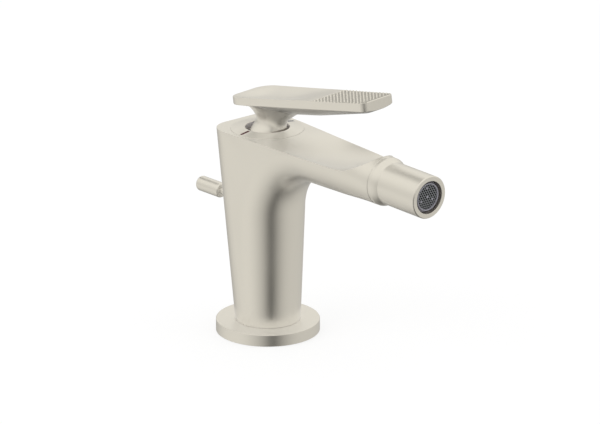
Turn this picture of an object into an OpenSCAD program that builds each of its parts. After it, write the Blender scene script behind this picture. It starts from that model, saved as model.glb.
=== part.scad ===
// Single-lever bidet mixer: column body with a scooped spout, swivelling ball-joint nozzle,
// tilting and turning lever on a ceramic-disc cartridge, and a pull knob for the pop-up waste.
// Frame: +Z up, origin at the centre of the base disc on the deck, spout towards -Y.

/* [Base disc] */
// Diameter of the base disc
base_d = 54; // [50:0.5:64]
// Height of the base disc above the deck
base_h = 6.5; // [5:0.25:9]
// Chamfer along the upper edge of the base disc
base_chamfer = 0.4; // [0.1:0.1:0.9]
// Depth of the recess under the base disc that leaves room for the hoses
base_recess = 2.2; // [1.5:0.1:3]
// Thickness of the rubber ring that shows below the base disc
gasket_proud = 0.3; // [0.1:0.1:0.5]

/* [Column] */
// Diameter of the round foot of the column
foot_d = 34; // [33.5:0.1:37]
// Half width of the column at its top edge
top_half_w = 20.9; // [19.8:0.1:24]
// Distance from the lever axis to the back of the column at its top edge
top_back = 23; // [22:0.25:30]
// Height of the top edge above the deck
top_z = 109.3; // [106:0.1:118]
// Corner radius of the back of the column at its top edge
top_corner_r = 11.7; // [6:0.1:14]
// Radius of the hollow between the column and the underside of the spout
fillet_r = 24; // [16:0.5:26]

/* [Spout] */
// Distance from the lever axis to the end face of the spout
spout_len = 89; // [84:0.5:96]
// Diameter of the round end of the spout
tube_d = 24.8; // [24.5:0.1:28]
// Depth of the spout axis below the top edge, at the lever axis
axis_drop = 3.9; // [2.5:0.1:4.5]
// Downward pitch of the spout axis in degrees
pitch = 1.5; // [0:0.25:3]
// Narrowing of the spout per millimetre of length, each side
spout_taper = 0.062; // [0.03:0.001:0.08]
// Fall of the top edge per millimetre of length
edge_fall = 0.024; // [0.01:0.0005:0.03]
// Distance from the lever axis at which the scoop starts
scoop_start = 17; // [15:0.5:20]
// Distance from the lever axis at which the scoop is deepest
scoop_low = 50; // [44:0.5:54]
// Depth of the scoop below the top of the column
scoop_depth = 4.5; // [2:0.25:5]

/* [Ball joint and nozzle] */
// Radius of the swivel ball
ball_r = 8; // [7.6:0.1:8.2]
// Distance from the end face of the spout back to the centre of the ball
ball_back = 1.9; // [1.5:0.1:2.2]
// Length of the straight rim of the collar
collar_rim = 2; // [1:0.1:3]
// Radius of the neck of the swivel ball
neck_r = 4.2; // [4:0.1:4.4]
// Radius of the water way through the ball
neck_bore_r = 2.8; // [2:0.1:3.2]
// Outer diameter of the nozzle
nozzle_d = 21.8; // [21.5:0.1:22.2]
// Distance from the centre of the ball to the open face of the nozzle
nozzle_reach = 33.6; // [30:0.1:40]
// Diameter of the opening in the nozzle
mouth_d = 16.72; // [16.5:0.02:17.2]
// Clearance between the collar dome and the rim of the nozzle
dome_gap = 0.3; // [0.25:0.05:0.5]
// Depth of the aerator rim behind the face of the nozzle
aerator_recess = 1; // [0.5:0.1:2]
// Distance between neighbouring holes of the aerator screen
screen_pitch = 1.5; // [1.4:0.05:2]
// Diameter of a hole in the aerator screen
screen_hole_d = 1; // [0.7:0.05:1.2]

/* [Cartridge] */
// Diameter of the cartridge housing
cart_d = 25; // [24:0.1:25.4]
// Depth of the top of the cartridge housing below the top edge of the column
cart_drop = 6.4; // [6:0.1:7]
// Height of the cartridge from its seat to its top
cart_len = 18.1; // [17.5:0.1:20]
// Wall of the cartridge housing
cart_wall = 1.5; // [1:0.1:2]
// Depth of the tilting axis of the lever below the top of the cartridge
pivot_drop = 2.6; // [2.2:0.1:3]
// Radius of the pin on which the lever tilts
pin_r = 1.25; // [1:0.05:1.5]
// Thickness of each ceramic disc
disc_h = 2; // [1.8:0.1:2.2]
// Radius of the ball at the lower end of the spindle
spindle_ball_r = 1.7; // [1.5:0.05:1.8]
// Width across the flats of the square spindle
spindle_w = 4.8; // [4.6:0.1:5.2]
// Outer radius of the nut over the cartridge
nut_r = 14.9; // [14.7:0.1:15.2]

/* [Cover ring] */
// Outer radius of the cover ring
ring_r = 18.8; // [18:0.1:19]
// Radius of the hole in the cover ring
ring_hole_r = 11.36; // [11.3:0.02:11.6]
// Height of the inner rim of the ring above the top edge of the column
ring_rise = 1.2; // [0.8:0.1:1.6]
// Height of the outer edge of the ring above the top edge of the column
ring_edge = 0.15; // [0.1:0.05:0.4]
// Depth of the seat of the cover ring
ring_seat = 0.9; // [0.7:0.1:1.2]

/* [Lever] */
// Height of the lever's upper face above the tilting axis
lever_rise = 28.35; // [27:0.05:32]
// Tilt of the lever in degrees
lever_tilt = 9; // [6:0.25:12]
// Length of the lever forward of its axis, along its face
lever_front = 75.6; // [72:0.1:90]
// Length of the lever behind its axis, along its face
lever_back = 15.2; // [15:0.1:20]
// Half width of the lever at its axis
lever_half_w = 14.4; // [14:0.1:17]
// Narrowing of the lever per millimetre of length, each side
lever_taper = 0.037; // [0.02:0.001:0.06]
// Radius of the back corners of the lever
lever_back_r = 8.4; // [5:0.1:10]
// Radius of the front corners of the lever
lever_front_r = 3.7; // [2:0.1:5]
// Height of the side face at the back
lever_edge_back = 3.9; // [3:0.1:4.5]
// Height of the side face at the front
lever_edge_front = 4.7; // [4:0.1:6]
// Depth of the hollow in the lever's upper face
lever_scoop = 2; // [1:0.1:2.4]
// Distance from the axis at which the hollow ends and the grip face starts
grip_start = 42.8; // [38:0.1:52]
// Radius of the bell at the foot of the stem
bell_r = 9.3; // [9:0.1:9.4]
// Height of the underside of the bell above the tilting axis
bell_rise = 8; // [7.4:0.1:8.1]
// Half width of the waist of the stem
waist_w = 5.6; // [5.6:0.1:6.2]
// Half length of the waist of the stem, along the lever
waist_len = 8.3; // [8.2:0.1:8.8]
// Distance of the middle of the waist in front of the lever axis
stem_fore = 3.2; // [2.6:0.1:3.3]
// Turn of the lever from the middle plane as it stands, in degrees
lever_turn = 7; // [0:0.5:10]

/* [Pull knob] */
// Distance left between the raised head of the pull rod and the cartridge floor
knob_clear = 1.5; // [1:0.1:6]
// Radius of the knob
knob_r = 4; // [3.5:0.1:6]
// Distance from the lever axis to the near end of the knob
knob_near = 35.7; // [34:0.1:40]
// Length of the knob
knob_len = 17.2; // [12:0.1:24]
// Radius of the knob's shank
shank_r = 1.9; // [1.7:0.1:2]
// Distance from the lever axis to the pull rod
rod_y = 12.8; // [12.4:0.1:13.2]
// Radius of the pull rod
rod_r = 2; // [1.8:0.1:2.1]
// Travel of the pull rod
rod_travel = 12; // [8:0.5:12]

/* [Connections] */
// Distance from the middle to each hose port
port_x = 7; // [6.8:0.1:7.2]
// Radius of each hose port thread
port_r = 4.6; // [4.4:0.1:4.8]
// Depth of each hose port thread
port_depth = 12; // [10:0.5:16]
// Distance of the fixing stud hole in front of the middle
stud_y = 9.5; // [9:0.1:9.8]
// Radius of the fixing stud hole
stud_r = 3.4; // [3:0.1:3.6]
// Depth of the fixing stud hole
stud_depth = 20; // [14:0.5:24]

/* [Hidden] */
$fn = 96;
eps = 0.01;
nickel = [0.76, 0.74, 0.69];
brass = [0.80, 0.66, 0.38];
plastic = [0.90, 0.90, 0.86];
rubber = [0.12, 0.12, 0.12];
steel = [0.72, 0.72, 0.72];
ceramic = [0.95, 0.94, 0.92];

// Fits and clearances
fit_gap = 0.02;
pin_gap = 0.03;
slide_gap = 0.05;
socket_gap = 0.06;
joint_gap = 0.1;
loose_gap = 0.15;
open_gap = 0.2;
over = 3;

// Base disc
base_r = base_d / 2;
gasket_h = 1.6;
gasket_out_r = base_r - 1.4;
gasket_in_r = gasket_out_r - 3.4;

// Column and spout
foot_z = base_h;
foot_r = foot_d / 2;
foot_step = 1.2;
spigot_r = foot_r - foot_step;
spigot_z = 1;
tube_r = tube_d / 2;
axis_z0 = top_z - axis_drop;
function axis_z(d) = axis_z0 - d * tan(pitch);
under_z = axis_z(spout_len) - tube_r;
edge_side = 0.6;
morph_len = 23;
morph_start = spout_len - morph_len;
crown_angle = 82;

// Ball joint, measured along the spout axis from the centre of the ball
ball_d = spout_len - ball_back * cos(pitch);
collar_r = tube_r - 0.05;
collar_chamfer = 0.25;
dome_r = norm([collar_r, ball_back + collar_rim]);
ball_room = 0.6;
ball_flat = 6.2;
swing = 12;
swing_spare = 1.5;
thread_r = tube_r - 2.15;
thread_len = 3.2;
seat_r = ball_r + 0.85;
seat_back = 2.6;
seat_front = 0.3;
seat_angle = 88;
socket_angle = 87;
neck_len = 3.3;
neck_end = dome_r + dome_gap + neck_len;
nozzle_r = nozzle_d / 2;
mouth_r = mouth_d / 2;
nozzle_chamfer = 0.5;
chamber_r = mouth_r - 1.1;
chamber_len = 3.5;
shoulder_d = neck_end + chamber_len;

// Aerator
seal_h = 1.2;
seal_bore_r = chamber_r - 0.6;
insert_r = mouth_r - 0.16;
insert_rim_r = insert_r * 0.86;
insert_step = 1.1;
insert_core_r = 2;
insert_floor = 2;
insert_face = nozzle_reach - aerator_recess;
insert_back = shoulder_d + seal_h;
jet_r = 0.8;
jet_ring = 0.62;
screen_r = insert_rim_r - 0.65;
screen_h = 0.8;
screen_face = insert_face - 0.5;
screen_ledge = 0.8;
screen_edge = 0.25;

// Cartridge, measured down from the top edge of the column
cart_r = cart_d / 2;
cart_top_z = top_z - cart_drop;
cart_floor_z = cart_top_z - cart_len;
pivot_z = cart_top_z - pivot_drop;
pocket_r = cart_r + open_gap;
nut_z = top_z - ring_seat;
nut_thread = 2;
thread_bottom = cart_top_z - nut_thread;
nut_bore_r = nut_r - 2.2;
nut_lip_r = 11;
nut_lip_h = 0.8;
nut_top_z = nut_z - 0.6;
notch_w = 2.4;
notch_h = 1.4;
skirt_r = nut_bore_r - joint_gap;
skirt_len = 2.6;
base_plate_h = 2.6;
disc_port_r = 1.9;
seal_groove_r = 3.2;
seal_ring_bore = 2.2;
seal_groove = 1.2;
seal_proud = 0.3;
cart_base_z = cart_floor_z + seal_proud;
disc_z = cart_base_z + base_plate_h;
disc_r = cart_r - cart_wall - 0.5;
moving_r = disc_r - 3.2;
moving_z = disc_z + disc_h;
mix_wall = 1.6;
mix_share = 0.6;
shoe_z = moving_z + disc_h;
shoe_h = 3.4;
shoe_floor = 0.8;
spindle_ball_z = shoe_z + shoe_floor + spindle_ball_r + loose_gap;
carrier_r = cart_r - cart_wall - 0.7;
carrier_z = shoe_z + shoe_h + 0.3;
carrier_top = cart_top_z - open_gap;
carrier_neck_r = carrier_r - 1;
carrier_shoulder = carrier_top - 2.2;
carrier_hole_r = carrier_neck_r + loose_gap;
spindle_neck_r = 1.2;
spindle_hub_r = 3;
spindle_foot = pivot_z + 1.6;
spindle_top = pivot_z + 16.5;
slot_half_w = spindle_hub_r + 0.5;
slot_len = 12.4;
pin_half = carrier_neck_r - 0.3;

// Cover ring and its marks
ring_chamfer = 0.3;
ring_slope = atan((ring_rise - ring_edge) / (ring_r - ring_hole_r - ring_chamfer));
function cone_z(r) = top_z + ring_edge + (ring_r - r) * tan(ring_slope);
mark_w = 0.8;
mark_in = ring_hole_r + 1.1;
mark_out = ring_r - 0.9;
mark_h = 0.25;

// Lever
lever_z0 = pivot_z + lever_rise;
socket_top = spindle_top + 0.5;
screw_z = pivot_z + 14.5;
screw_r = 1.5;
screw_len = 2;
hex_r = 0.8;
hex_start = 0.9;
cap_sink = 0.25;
crown_power = 2.2;
hollow_run = 14;
bell_z = pivot_z + bell_rise;
bell_edge = 0.6;
bell_fore = 0.6;
bell_power = 2.2;
waist_z = pivot_z + 14.2;
flare_side = lever_half_w - 0.8;
flare_fore = 9;
flare_aft = 1;
flare_power = 0.5;
flare_sink = 0.4;
flare_cap_share = 0.96;
flare_cap_w = -lever_scoop - 1;
lever_crown = [[-lever_back, 0.4], [-6, 2], [10, 5.2], [24, 6], [38, 5.7], [55, 4.1], [70, 2.6],
    [lever_front, 0.9]];

// Water ways in the casting
inlet_r = 3;
inlet_y = 1.2;
outlet_y = 7.2;
riser_y = 17;
riser_r = 2.3;
cross_z = cart_floor_z - 4.5;
way_r = 3.8;
way_z = under_z + 6.7;
way_stop = 3;

// Pull rod
rod_low = spigot_z + 0.5;
head_r = rod_r + 0.9;
head_h = 9;
knob_z = cart_floor_z - knob_clear - rod_travel - head_h / 2;
head_z = knob_z - head_h / 2;
bush_len = 6;
bush_z = head_z - bush_len - 1.5;
channel_r = head_r + open_gap;
channel_top = head_z + head_h + rod_travel + 0.4;
coupling_r = 1.25;
coupling_depth = 8;
slot_half = shank_r + open_gap;
shank_bury = 0.5;
knob_bore = 5;
knob_round = 0.8;
knob_near_round = 1.6;

function mix(a, b, t) = a + (b - a) * t;
function ease(t) = let (c = min(1, max(0, t))) c * c * (3 - 2 * c);

// Outline of the column: half width, back and corner radius by height
function column_share(z) = (z - foot_z) / (top_z - foot_z);
function half_w(y, z) = mix(foot_r, top_half_w, column_share(z)) + spout_taper * min(y, 0);
function back_y(z) = mix(foot_r, top_back, column_share(z));
function corner_r(z) = mix(foot_r, top_corner_r, column_share(z));
back_lean = (top_back - foot_r) / (top_z - foot_z);

// Top surface of the spout: a level margin, a scoop, and a rise to the round end
scoop_z = top_z - scoop_depth;
rise_end = axis_z(spout_len) + tube_r - scoop_z;
rise_power = 2.84;
rise_stop = 1.5;
function edge_z(y) = top_z + edge_fall * min(y, 0);
function floor_z(y) = -y < scoop_low
    ? mix(top_z, scoop_z, ease((-y - scoop_start) / (scoop_low - scoop_start)))
    : scoop_z + rise_end * pow((-y - scoop_low) / (spout_len - rise_stop - scoop_low), rise_power);
function rim_z(y) = let (a = edge_z(y), b = floor_z(y)) -y < scoop_low ? a : max(a, b);
function top_at(f, y) = mix(floor_z(y), rim_z(y), f * f);

// Each ring of the body: half round below, two sides, rounded corners and a back or a top
round_n = 24;
side_n = 2;
corner_n = 7;
flat_n = 4;
function corner_share(r, w, k) = 1 - r / w + r / w * cos(90 * k / corner_n);
function corner_depth(r, k) = r * (1 - sin(90 * k / corner_n));
top_share = top_corner_r / top_half_w;
function flat_share(r, w, k) = (1 - r / w) * (1 - 2 * k / flat_n);

function outer_x(r, w) = concat(
    [for (k = [1 : corner_n]) w * corner_share(r, w, k)],
    [for (k = [1 : flat_n]) w * flat_share(r, w, k)],
    [for (k = [corner_n - 1 : -1 : 0]) -w * corner_share(r, w, k)]);
function outer_depth(r) = concat(
    [for (k = [1 : corner_n]) corner_depth(r, k)],
    [for (k = [1 : flat_n]) 0],
    [for (k = [corner_n - 1 : -1 : 0]) corner_depth(r, k)]);

// A point at distance s from the inner edge of a section that leans by angle a
function lean(oy, oz, a, x, s) = [x, oy + s * cos(a), oz + s * sin(a)];

function section(oy, oz, a, wx, ws, we, se, outer) = concat(
    [for (k = [0 : round_n]) let (t = 180 * k / round_n) lean(oy, oz, a, -wx * cos(t), ws * (1 - sin(t)))],
    [for (k = [1 : side_n]) lean(oy, oz, a, mix(wx, we, k / side_n), mix(ws, se, k / side_n))],
    [for (p = outer) lean(oy, oz, a, p[0], p[1])],
    [for (k = [side_n - 1 : -1 : 1]) lean(oy, oz, a, -mix(wx, we, k / side_n), mix(ws, se, k / side_n))]);

function column_ring(z) = let (
    w = half_w(0, z),
    r = corner_r(z),
    reach = w + back_y(z),
    xs = outer_x(r, w),
    ds = outer_depth(r))
    section(-w, z, 0, w, w, w, reach - r, [for (i = [0 : len(xs) - 1]) [xs[i], reach - ds[i]]]);

// Fan of sections round the hollow between column and spout
fan_z = under_z - fillet_r;
fan_w = half_w(0, fan_z);
fan_y = -fan_w - fillet_r;
function wall_reach(a, depth) = let (c = cos(a) - back_lean * sin(a))
    c < 0.15 ? 1000 : (back_y(fan_z) - depth - fan_y) / c;
function top_reach(a, f, n) = a < 5 ? 1000 : let (
    last = n == 0 ? (top_z - fan_z) / sin(a) : top_reach(a, f, n - 1))
    (top_at(f, fan_y + last * cos(a)) - fan_z) / sin(a);
function reach(a, depth, f) = min(wall_reach(a, depth), top_reach(a, f, 4));
function fan_ring(a) = let (
    t = a / 90,
    end_w = half_w(fan_y, top_z),
    wx = mix(fan_w, end_w, t),
    ws = mix(fan_w, edge_z(fan_y) - edge_side - under_z, t),
    side0 = reach(a, top_corner_r, 1),
    z0 = fan_z + side0 * sin(a),
    y0 = fan_y + side0 * cos(a),
    we = half_w(y0, z0),
    r = min(corner_r(z0), y0 < 0 ? we * top_share : foot_r),
    side = reach(a, r, 1),
    xs = outer_x(r, we),
    ds = outer_depth(r))
    section(fan_y + fillet_r * cos(a), fan_z + fillet_r * sin(a), a, wx, ws, we, side - fillet_r,
        [for (i = [0 : len(xs) - 1]) [xs[i], reach(a, ds[i], xs[i] / we) - fillet_r]]);

// Upright sections of the spout, which turn into a circle square to the spout axis at its end
function spout_ring(d) = let (
    e = ease((d - morph_start) / (spout_len - morph_start)),
    cz = mix(edge_z(-d) - edge_side, axis_z(d), e),
    rx = mix(half_w(-d, top_z), tube_r, e),
    rz = cz - mix(under_z, axis_z(d) - tube_r, e),
    up = min(asin(min(1, (rim_z(-d) - cz) / rz)), crown_angle),
    xe = rx * cos(up),
    xs = outer_x(xe * top_share, xe),
    flat = concat(
        [for (k = [0 : round_n]) [-rx * cos(180 * k / round_n), cz - rz * sin(180 * k / round_n)]],
        [for (k = [1 : side_n]) [rx * cos(up * k / side_n), cz + rz * sin(up * k / side_n)]],
        [for (x = xs) [x, min(top_at(x / xe, -d), cz + rz * sqrt(1 - pow(x / rx, 2)))]],
        [for (k = [side_n - 1 : -1 : 1]) [-rx * cos(up * k / side_n), cz + rz * sin(up * k / side_n)]]))
    [for (p = flat) [p[0], -d - e * (p[1] - axis_z(d)) * tan(pitch), p[1]]];

function crease_angle(k) = atan2(top_z - fan_z, top_back - corner_depth(top_corner_r, k) - fan_y);
crease_first = crease_angle(corner_n);
crease_last = crease_angle(0);
column_steps = 6;
fan_low_steps = 4;
fan_high_steps = 10;
spout_steps = 8;
morph_steps = 10;
body_rings = concat(
    [for (i = [0 : column_steps - 1]) column_ring(mix(foot_z, fan_z, i / column_steps))],
    [for (i = [0 : fan_low_steps - 1]) fan_ring(crease_first * i / fan_low_steps)],
    [for (k = [corner_n : -1 : 0]) fan_ring(crease_angle(k))],
    [for (i = [1 : fan_high_steps]) fan_ring(mix(crease_last, 90, i / fan_high_steps))],
    [for (i = [1 : spout_steps]) spout_ring(mix(-fan_y, morph_start, i / spout_steps))],
    [for (i = [1 : morph_steps]) spout_ring(mix(morph_start, spout_len, i / morph_steps))]);

// Closed skin through rings of equal length; each end is a fan round the middle of its ring.
// From flip_from up to flip_to the quads are split along their other diagonal.
function middle(ring) = [for (i = [0 : 2]) let (all = [for (p = ring) p[i]]) (min(all) + max(all)) / 2];
module skin(rings, flip_from = -1, flip_to = -1) {
    n = len(rings[0]);
    m = len(rings);
    faces = concat(
        [for (k = [0 : n - 1]) [n * m, k, (k + 1) % n]],
        [for (i = [0 : m - 2], k = [0 : n - 1])
            let (a = i * n + k, b = i * n + (k + 1) % n, c = a + n, d = b + n)
            each (k >= flip_from && k < flip_to) ? [[a, c, b], [b, c, d]] : [[a, c, d], [a, d, b]]],
        [for (k = [0 : n - 1]) [n * m + 1, (m - 1) * n + (k + 1) % n, (m - 1) * n + k]]);
    polyhedron(points = concat([for (r = rings) each r], [middle(rings[0]), middle(rings[m - 1])]),
        faces = faces, convexity = 8);
}

// Places children on the spout axis, their +Z towards the outlet, zero at the ball centre
module on_ball() {
    translate([0, -ball_d, axis_z(ball_d)])
        rotate([90 + pitch, 0, 0])
            children();
}

module ring_shape(r_out, r_in, z_low, z_high) {
    translate([0, 0, z_low])
        difference() {
            cylinder(r = r_out, h = z_high - z_low);
            translate([0, 0, -eps])
                cylinder(r = r_in, h = z_high - z_low + 2 * eps);
        }
}

module rod_at(x, y, z_low, z_high, r) {
    translate([x, y, z_low])
        cylinder(r = r, h = z_high - z_low, $fn = 48);
}

// Body casting with its water ways, cartridge pocket, ball pocket and pull-rod channel
module body_casting() {
    right_corner = round_n + side_n;
    color(nickel)
        difference() {
            union() {
                skin(body_rings, right_corner, right_corner + corner_n);
                translate([0, 0, spigot_z])
                    cylinder(r = spigot_r, h = foot_z - spigot_z + eps);
            }
            rod_at(0, 0, cart_floor_z, thread_bottom + eps, pocket_r);
            rod_at(0, 0, thread_bottom, top_z + over, nut_r);
            rod_at(0, 0, nut_z, top_z + over, ring_r + slide_gap);
            for (side = [-1, 1]) {
                rod_at(side * port_x, inlet_y, spigot_z - eps, spigot_z + port_depth, port_r);
                rod_at(side * port_x, inlet_y, spigot_z, cart_floor_z + eps, inlet_r);
            }
            rod_at(0, -stud_y, spigot_z - eps, spigot_z + stud_depth, stud_r);
            rod_at(0, -outlet_y, cross_z, cart_floor_z + eps, riser_r);
            rod_at(0, -riser_y, cross_z, way_z, riser_r);
            translate([0, -outlet_y + riser_r, cross_z])
                rotate([90, 0, 0])
                    cylinder(r = riser_r, h = riser_y - outlet_y + riser_r, $fn = 48);
            translate([0, -riser_y + riser_r, way_z])
                rotate([90, 0, 0])
                    cylinder(r = way_r, h = ball_d - riser_y - way_stop, $fn = 48);
            on_ball() {
                sphere(r = ball_r + ball_room);
                translate([0, 0, -seat_back - joint_gap])
                    cylinder(r = seat_r + slide_gap, h = seat_back + over);
                translate([0, 0, ball_back - thread_len])
                    cylinder(r = thread_r, h = thread_len + over);
            }
            rod_at(0, rod_y, spigot_z - eps, head_z, rod_r + open_gap);
            rod_at(0, rod_y, bush_z, channel_top, channel_r);
            translate([0, 0, knob_z])
                knob_slot();
        }
}

// Upright slot with round ends for the shank of the knob
module knob_slot() {
    for (z = [0, rod_travel])
        translate([0, rod_y, z])
            rotate([-90, 0, 0])
                cylinder(r = slot_half, h = top_back - rod_y + over, $fn = 48);
    translate([-slot_half, rod_y, 0])
        cube([2 * slot_half, top_back - rod_y + over, rod_travel]);
}

// Base disc with a chamfered upper edge and a recess below
module base_escutcheon() {
    color(nickel)
        rotate_extrude()
            polygon([[spigot_r + slide_gap, base_h], [spigot_r + slide_gap, base_recess],
                [gasket_in_r - open_gap, base_recess], [gasket_in_r - open_gap, gasket_h],
                [gasket_out_r + open_gap, gasket_h], [gasket_out_r + open_gap, gasket_proud],
                [base_r, gasket_proud], [base_r, base_h - base_chamfer], [base_r - base_chamfer, base_h]]);
}

// Rubber ring under the rim of the base disc
module base_gasket() {
    color(rubber)
        ring_shape(gasket_out_r, gasket_in_r, 0, gasket_h);
}

// Ring over the cartridge: a shallow cone outside and a short threaded skirt inside
module cover_ring() {
    color(nickel)
        difference() {
            rotate_extrude()
                polygon([[ring_hole_r, nut_top_z - skirt_len], [skirt_r, nut_top_z - skirt_len],
                    [skirt_r, nut_z], [ring_r, nut_z], [ring_r, top_z + ring_edge],
                    [ring_hole_r + ring_chamfer, top_z + ring_rise],
                    [ring_hole_r, top_z + ring_rise - ring_chamfer]]);
            for (side = [-1, 1])
                mark_shape(side, fit_gap);
        }
}

// Colour insert that lies along the cone of the cover ring
module mark_shape(side, grow) {
    len = (mark_out - mark_in) / cos(ring_slope);
    translate([side * mark_out, 0, cone_z(mark_out)])
        rotate([0, side > 0 ? ring_slope : -ring_slope, 0])
            translate([side > 0 ? -len - grow : -grow, -mark_w / 2 - grow, -mark_h - grow])
                cube([len + 2 * grow, mark_w + 2 * grow, mark_h + 2 * grow + (grow > 0 ? over : 0)]);
}

module hot_mark() {
    color([0.55, 0.12, 0.14])
        mark_shape(-1, 0);
}

module cold_mark() {
    color([0.12, 0.22, 0.55])
        mark_shape(1, 0);
}

// Threaded nut that holds the cartridge down, with four key notches
module cartridge_nut() {
    color(brass)
        difference() {
            rotate_extrude()
                polygon([[nut_lip_r, cart_top_z], [nut_r - fit_gap, cart_top_z], [nut_r - fit_gap, nut_top_z],
                    [nut_bore_r, nut_top_z], [nut_bore_r, cart_top_z + nut_lip_h],
                    [nut_lip_r, cart_top_z + nut_lip_h]]);
            for (a = [45 : 90 : 315])
                rotate([0, 0, a])
                    translate([nut_bore_r - eps, -notch_w / 2, nut_top_z - notch_h])
                        cube([nut_r - nut_bore_r + over, notch_w, notch_h + over]);
        }
}

// Plastic housing round the ceramic discs and the turning carrier
module cartridge_housing() {
    color(plastic)
        rotate_extrude()
            polygon([[cart_r - cart_wall, disc_z], [cart_r, disc_z], [cart_r, cart_top_z],
                [carrier_hole_r, cart_top_z], [carrier_hole_r, carrier_shoulder + loose_gap],
                [carrier_r + loose_gap, carrier_shoulder + loose_gap],
                [carrier_r + loose_gap, carrier_z - loose_gap], [cart_r - cart_wall, carrier_z - loose_gap]]);
}

// Three upright rods at the ports of the cartridge: two inlets and one outlet
module port_set(r, z_low, z_high) {
    for (side = [-1, 1])
        rod_at(side * port_x, inlet_y, z_low, z_high, r);
    rod_at(0, -outlet_y, z_low, z_high, r);
}

// Base of the cartridge with three ports and a groove round each
module cartridge_base() {
    color(plastic)
        difference() {
            rod_at(0, 0, cart_base_z, disc_z, cart_r);
            port_set(disc_port_r, cart_base_z - eps, disc_z + eps);
            port_set(seal_groove_r, cart_base_z - eps, cart_base_z + seal_groove);
        }
}

// Rubber rings squeezed between the cartridge base and the floor of its pocket
module cartridge_seals() {
    seal_top = cart_base_z + seal_groove;
    color(rubber)
        difference() {
            port_set(seal_groove_r, cart_floor_z, seal_top);
            port_set(seal_ring_bore, cart_floor_z - eps, seal_top + eps);
        }
}

// Lower ceramic disc with its three ports
module fixed_disc() {
    color(ceramic)
        difference() {
            rod_at(0, 0, disc_z, disc_z + disc_h, disc_r);
            port_set(disc_port_r, disc_z - eps, disc_z + disc_h + eps);
        }
}

// Upper ceramic disc with the mixing hollow in its lower face
module moving_disc() {
    color(ceramic)
        difference() {
            rod_at(0, 0, moving_z, moving_z + disc_h, moving_r);
            translate([0, 0, moving_z - eps])
                cylinder(r = moving_r - mix_wall, h = disc_h * mix_share);
        }
}

// Shoe on the upper disc that the ball of the spindle pushes
module disc_carrier() {
    color([0.25, 0.35, 0.55])
        difference() {
            rod_at(0, 0, shoe_z, shoe_z + shoe_h, moving_r);
            translate([0, 0, shoe_z + shoe_floor])
                cylinder(r = spindle_ball_r + joint_gap, h = shoe_h);
        }
}

// The pieces that turn with the lever are drawn straight and turned to where the lever stands
module turn_lever() {
    rotate([0, 0, lever_turn])
        children();
}

// Carrier that turns with the lever and holds the tilting pin
module spindle_carrier() {
    color(plastic)
        difference() {
            rotate_extrude()
                polygon([[0, carrier_z], [carrier_r, carrier_z], [carrier_r, carrier_shoulder],
                    [carrier_neck_r, carrier_shoulder], [carrier_neck_r, carrier_top], [0, carrier_top]]);
            translate([-slot_half_w, -slot_len / 2, carrier_z - over])
                cube([2 * slot_half_w, slot_len, carrier_top - carrier_z + 2 * over]);
            translate([-pin_half, 0, pivot_z])
                rotate([0, 90, 0])
                    cylinder(r = pin_r, h = 2 * pin_half, $fn = 48);
        }
}

// Steel pin on which the spindle tilts
module spindle_pin() {
    color(steel)
        translate([-pin_half, 0, pivot_z])
            rotate([0, 90, 0])
                cylinder(r = pin_r, h = 2 * pin_half, $fn = 48);
}

// Spindle: ball and neck below the pin, hub round the pin, square shank above
module cartridge_spindle() {
    color(steel)
        difference() {
            union() {
                translate([0, 0, spindle_ball_z])
                    sphere(r = spindle_ball_r, $fn = 48);
                rod_at(0, 0, spindle_ball_z, pivot_z, spindle_neck_r);
                translate([-spindle_hub_r, 0, pivot_z])
                    rotate([0, 90, 0])
                        cylinder(r = spindle_hub_r, h = 2 * spindle_hub_r, $fn = 48);
                translate([-spindle_w / 2, -spindle_w / 2, spindle_foot])
                    cube([spindle_w, spindle_w, spindle_top - spindle_foot]);
            }
            translate([-spindle_w, 0, pivot_z])
                rotate([0, 90, 0])
                    cylinder(r = pin_r + pin_gap, h = 2 * spindle_w, $fn = 48);
        }
}

// Lever, in its own tilted frame: u forward along the face, w up from it
function lever_pt(x, u, w) = [x, w * sin(lever_tilt) - u * cos(lever_tilt),
    lever_z0 + u * sin(lever_tilt) + w * cos(lever_tilt)];
function lever_w(u) = lever_half_w - lever_taper * u;
function end_inset(u) = let (
    b = min(lever_back_r, u + lever_back),
    f = min(lever_front_r, lever_front - u))
    lever_back_r - sqrt(pow(lever_back_r, 2) - pow(lever_back_r - b, 2))
    + lever_front_r - sqrt(pow(lever_front_r, 2) - pow(lever_front_r - f, 2));
function lever_half(u) = lever_w(u) - end_inset(u);
function edge_h(u) = mix(lever_edge_back, lever_edge_front, (u + lever_back) / (lever_front + lever_back));
function hollow(u) = lever_scoop * ease((u + lever_back) / hollow_run)
    * (1 - ease((u - hollow_run) / (grip_start - hollow_run)));
across_n = 12;
under_n = 10;
function lever_ring(u) = let (
    a = lever_half(u),
    h = edge_h(u),
    c = lookup(u, lever_crown))
    concat(
        [for (k = [0 : across_n]) let (f = 1 - 2 * k / across_n)
            lever_pt(a * f, u, -hollow(u) * (1 - f * f))],
        [for (k = [0 : under_n]) let (f = -cos(180 * k / under_n))
            lever_pt(a * f, u, -h - c * (1 - pow(abs(f), crown_power)))]);
lever_steps = concat(
    [for (k = [0 : 5]) -lever_back + lever_back_r * (1 - cos(90 * k / 5))],
    [for (k = [1 : 12]) mix(-lever_back + lever_back_r, lever_front - lever_front_r, k / 12)],
    [for (k = [1 : 4]) lever_front - lever_front_r * (1 - sin(90 * k / 4))]);

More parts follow.
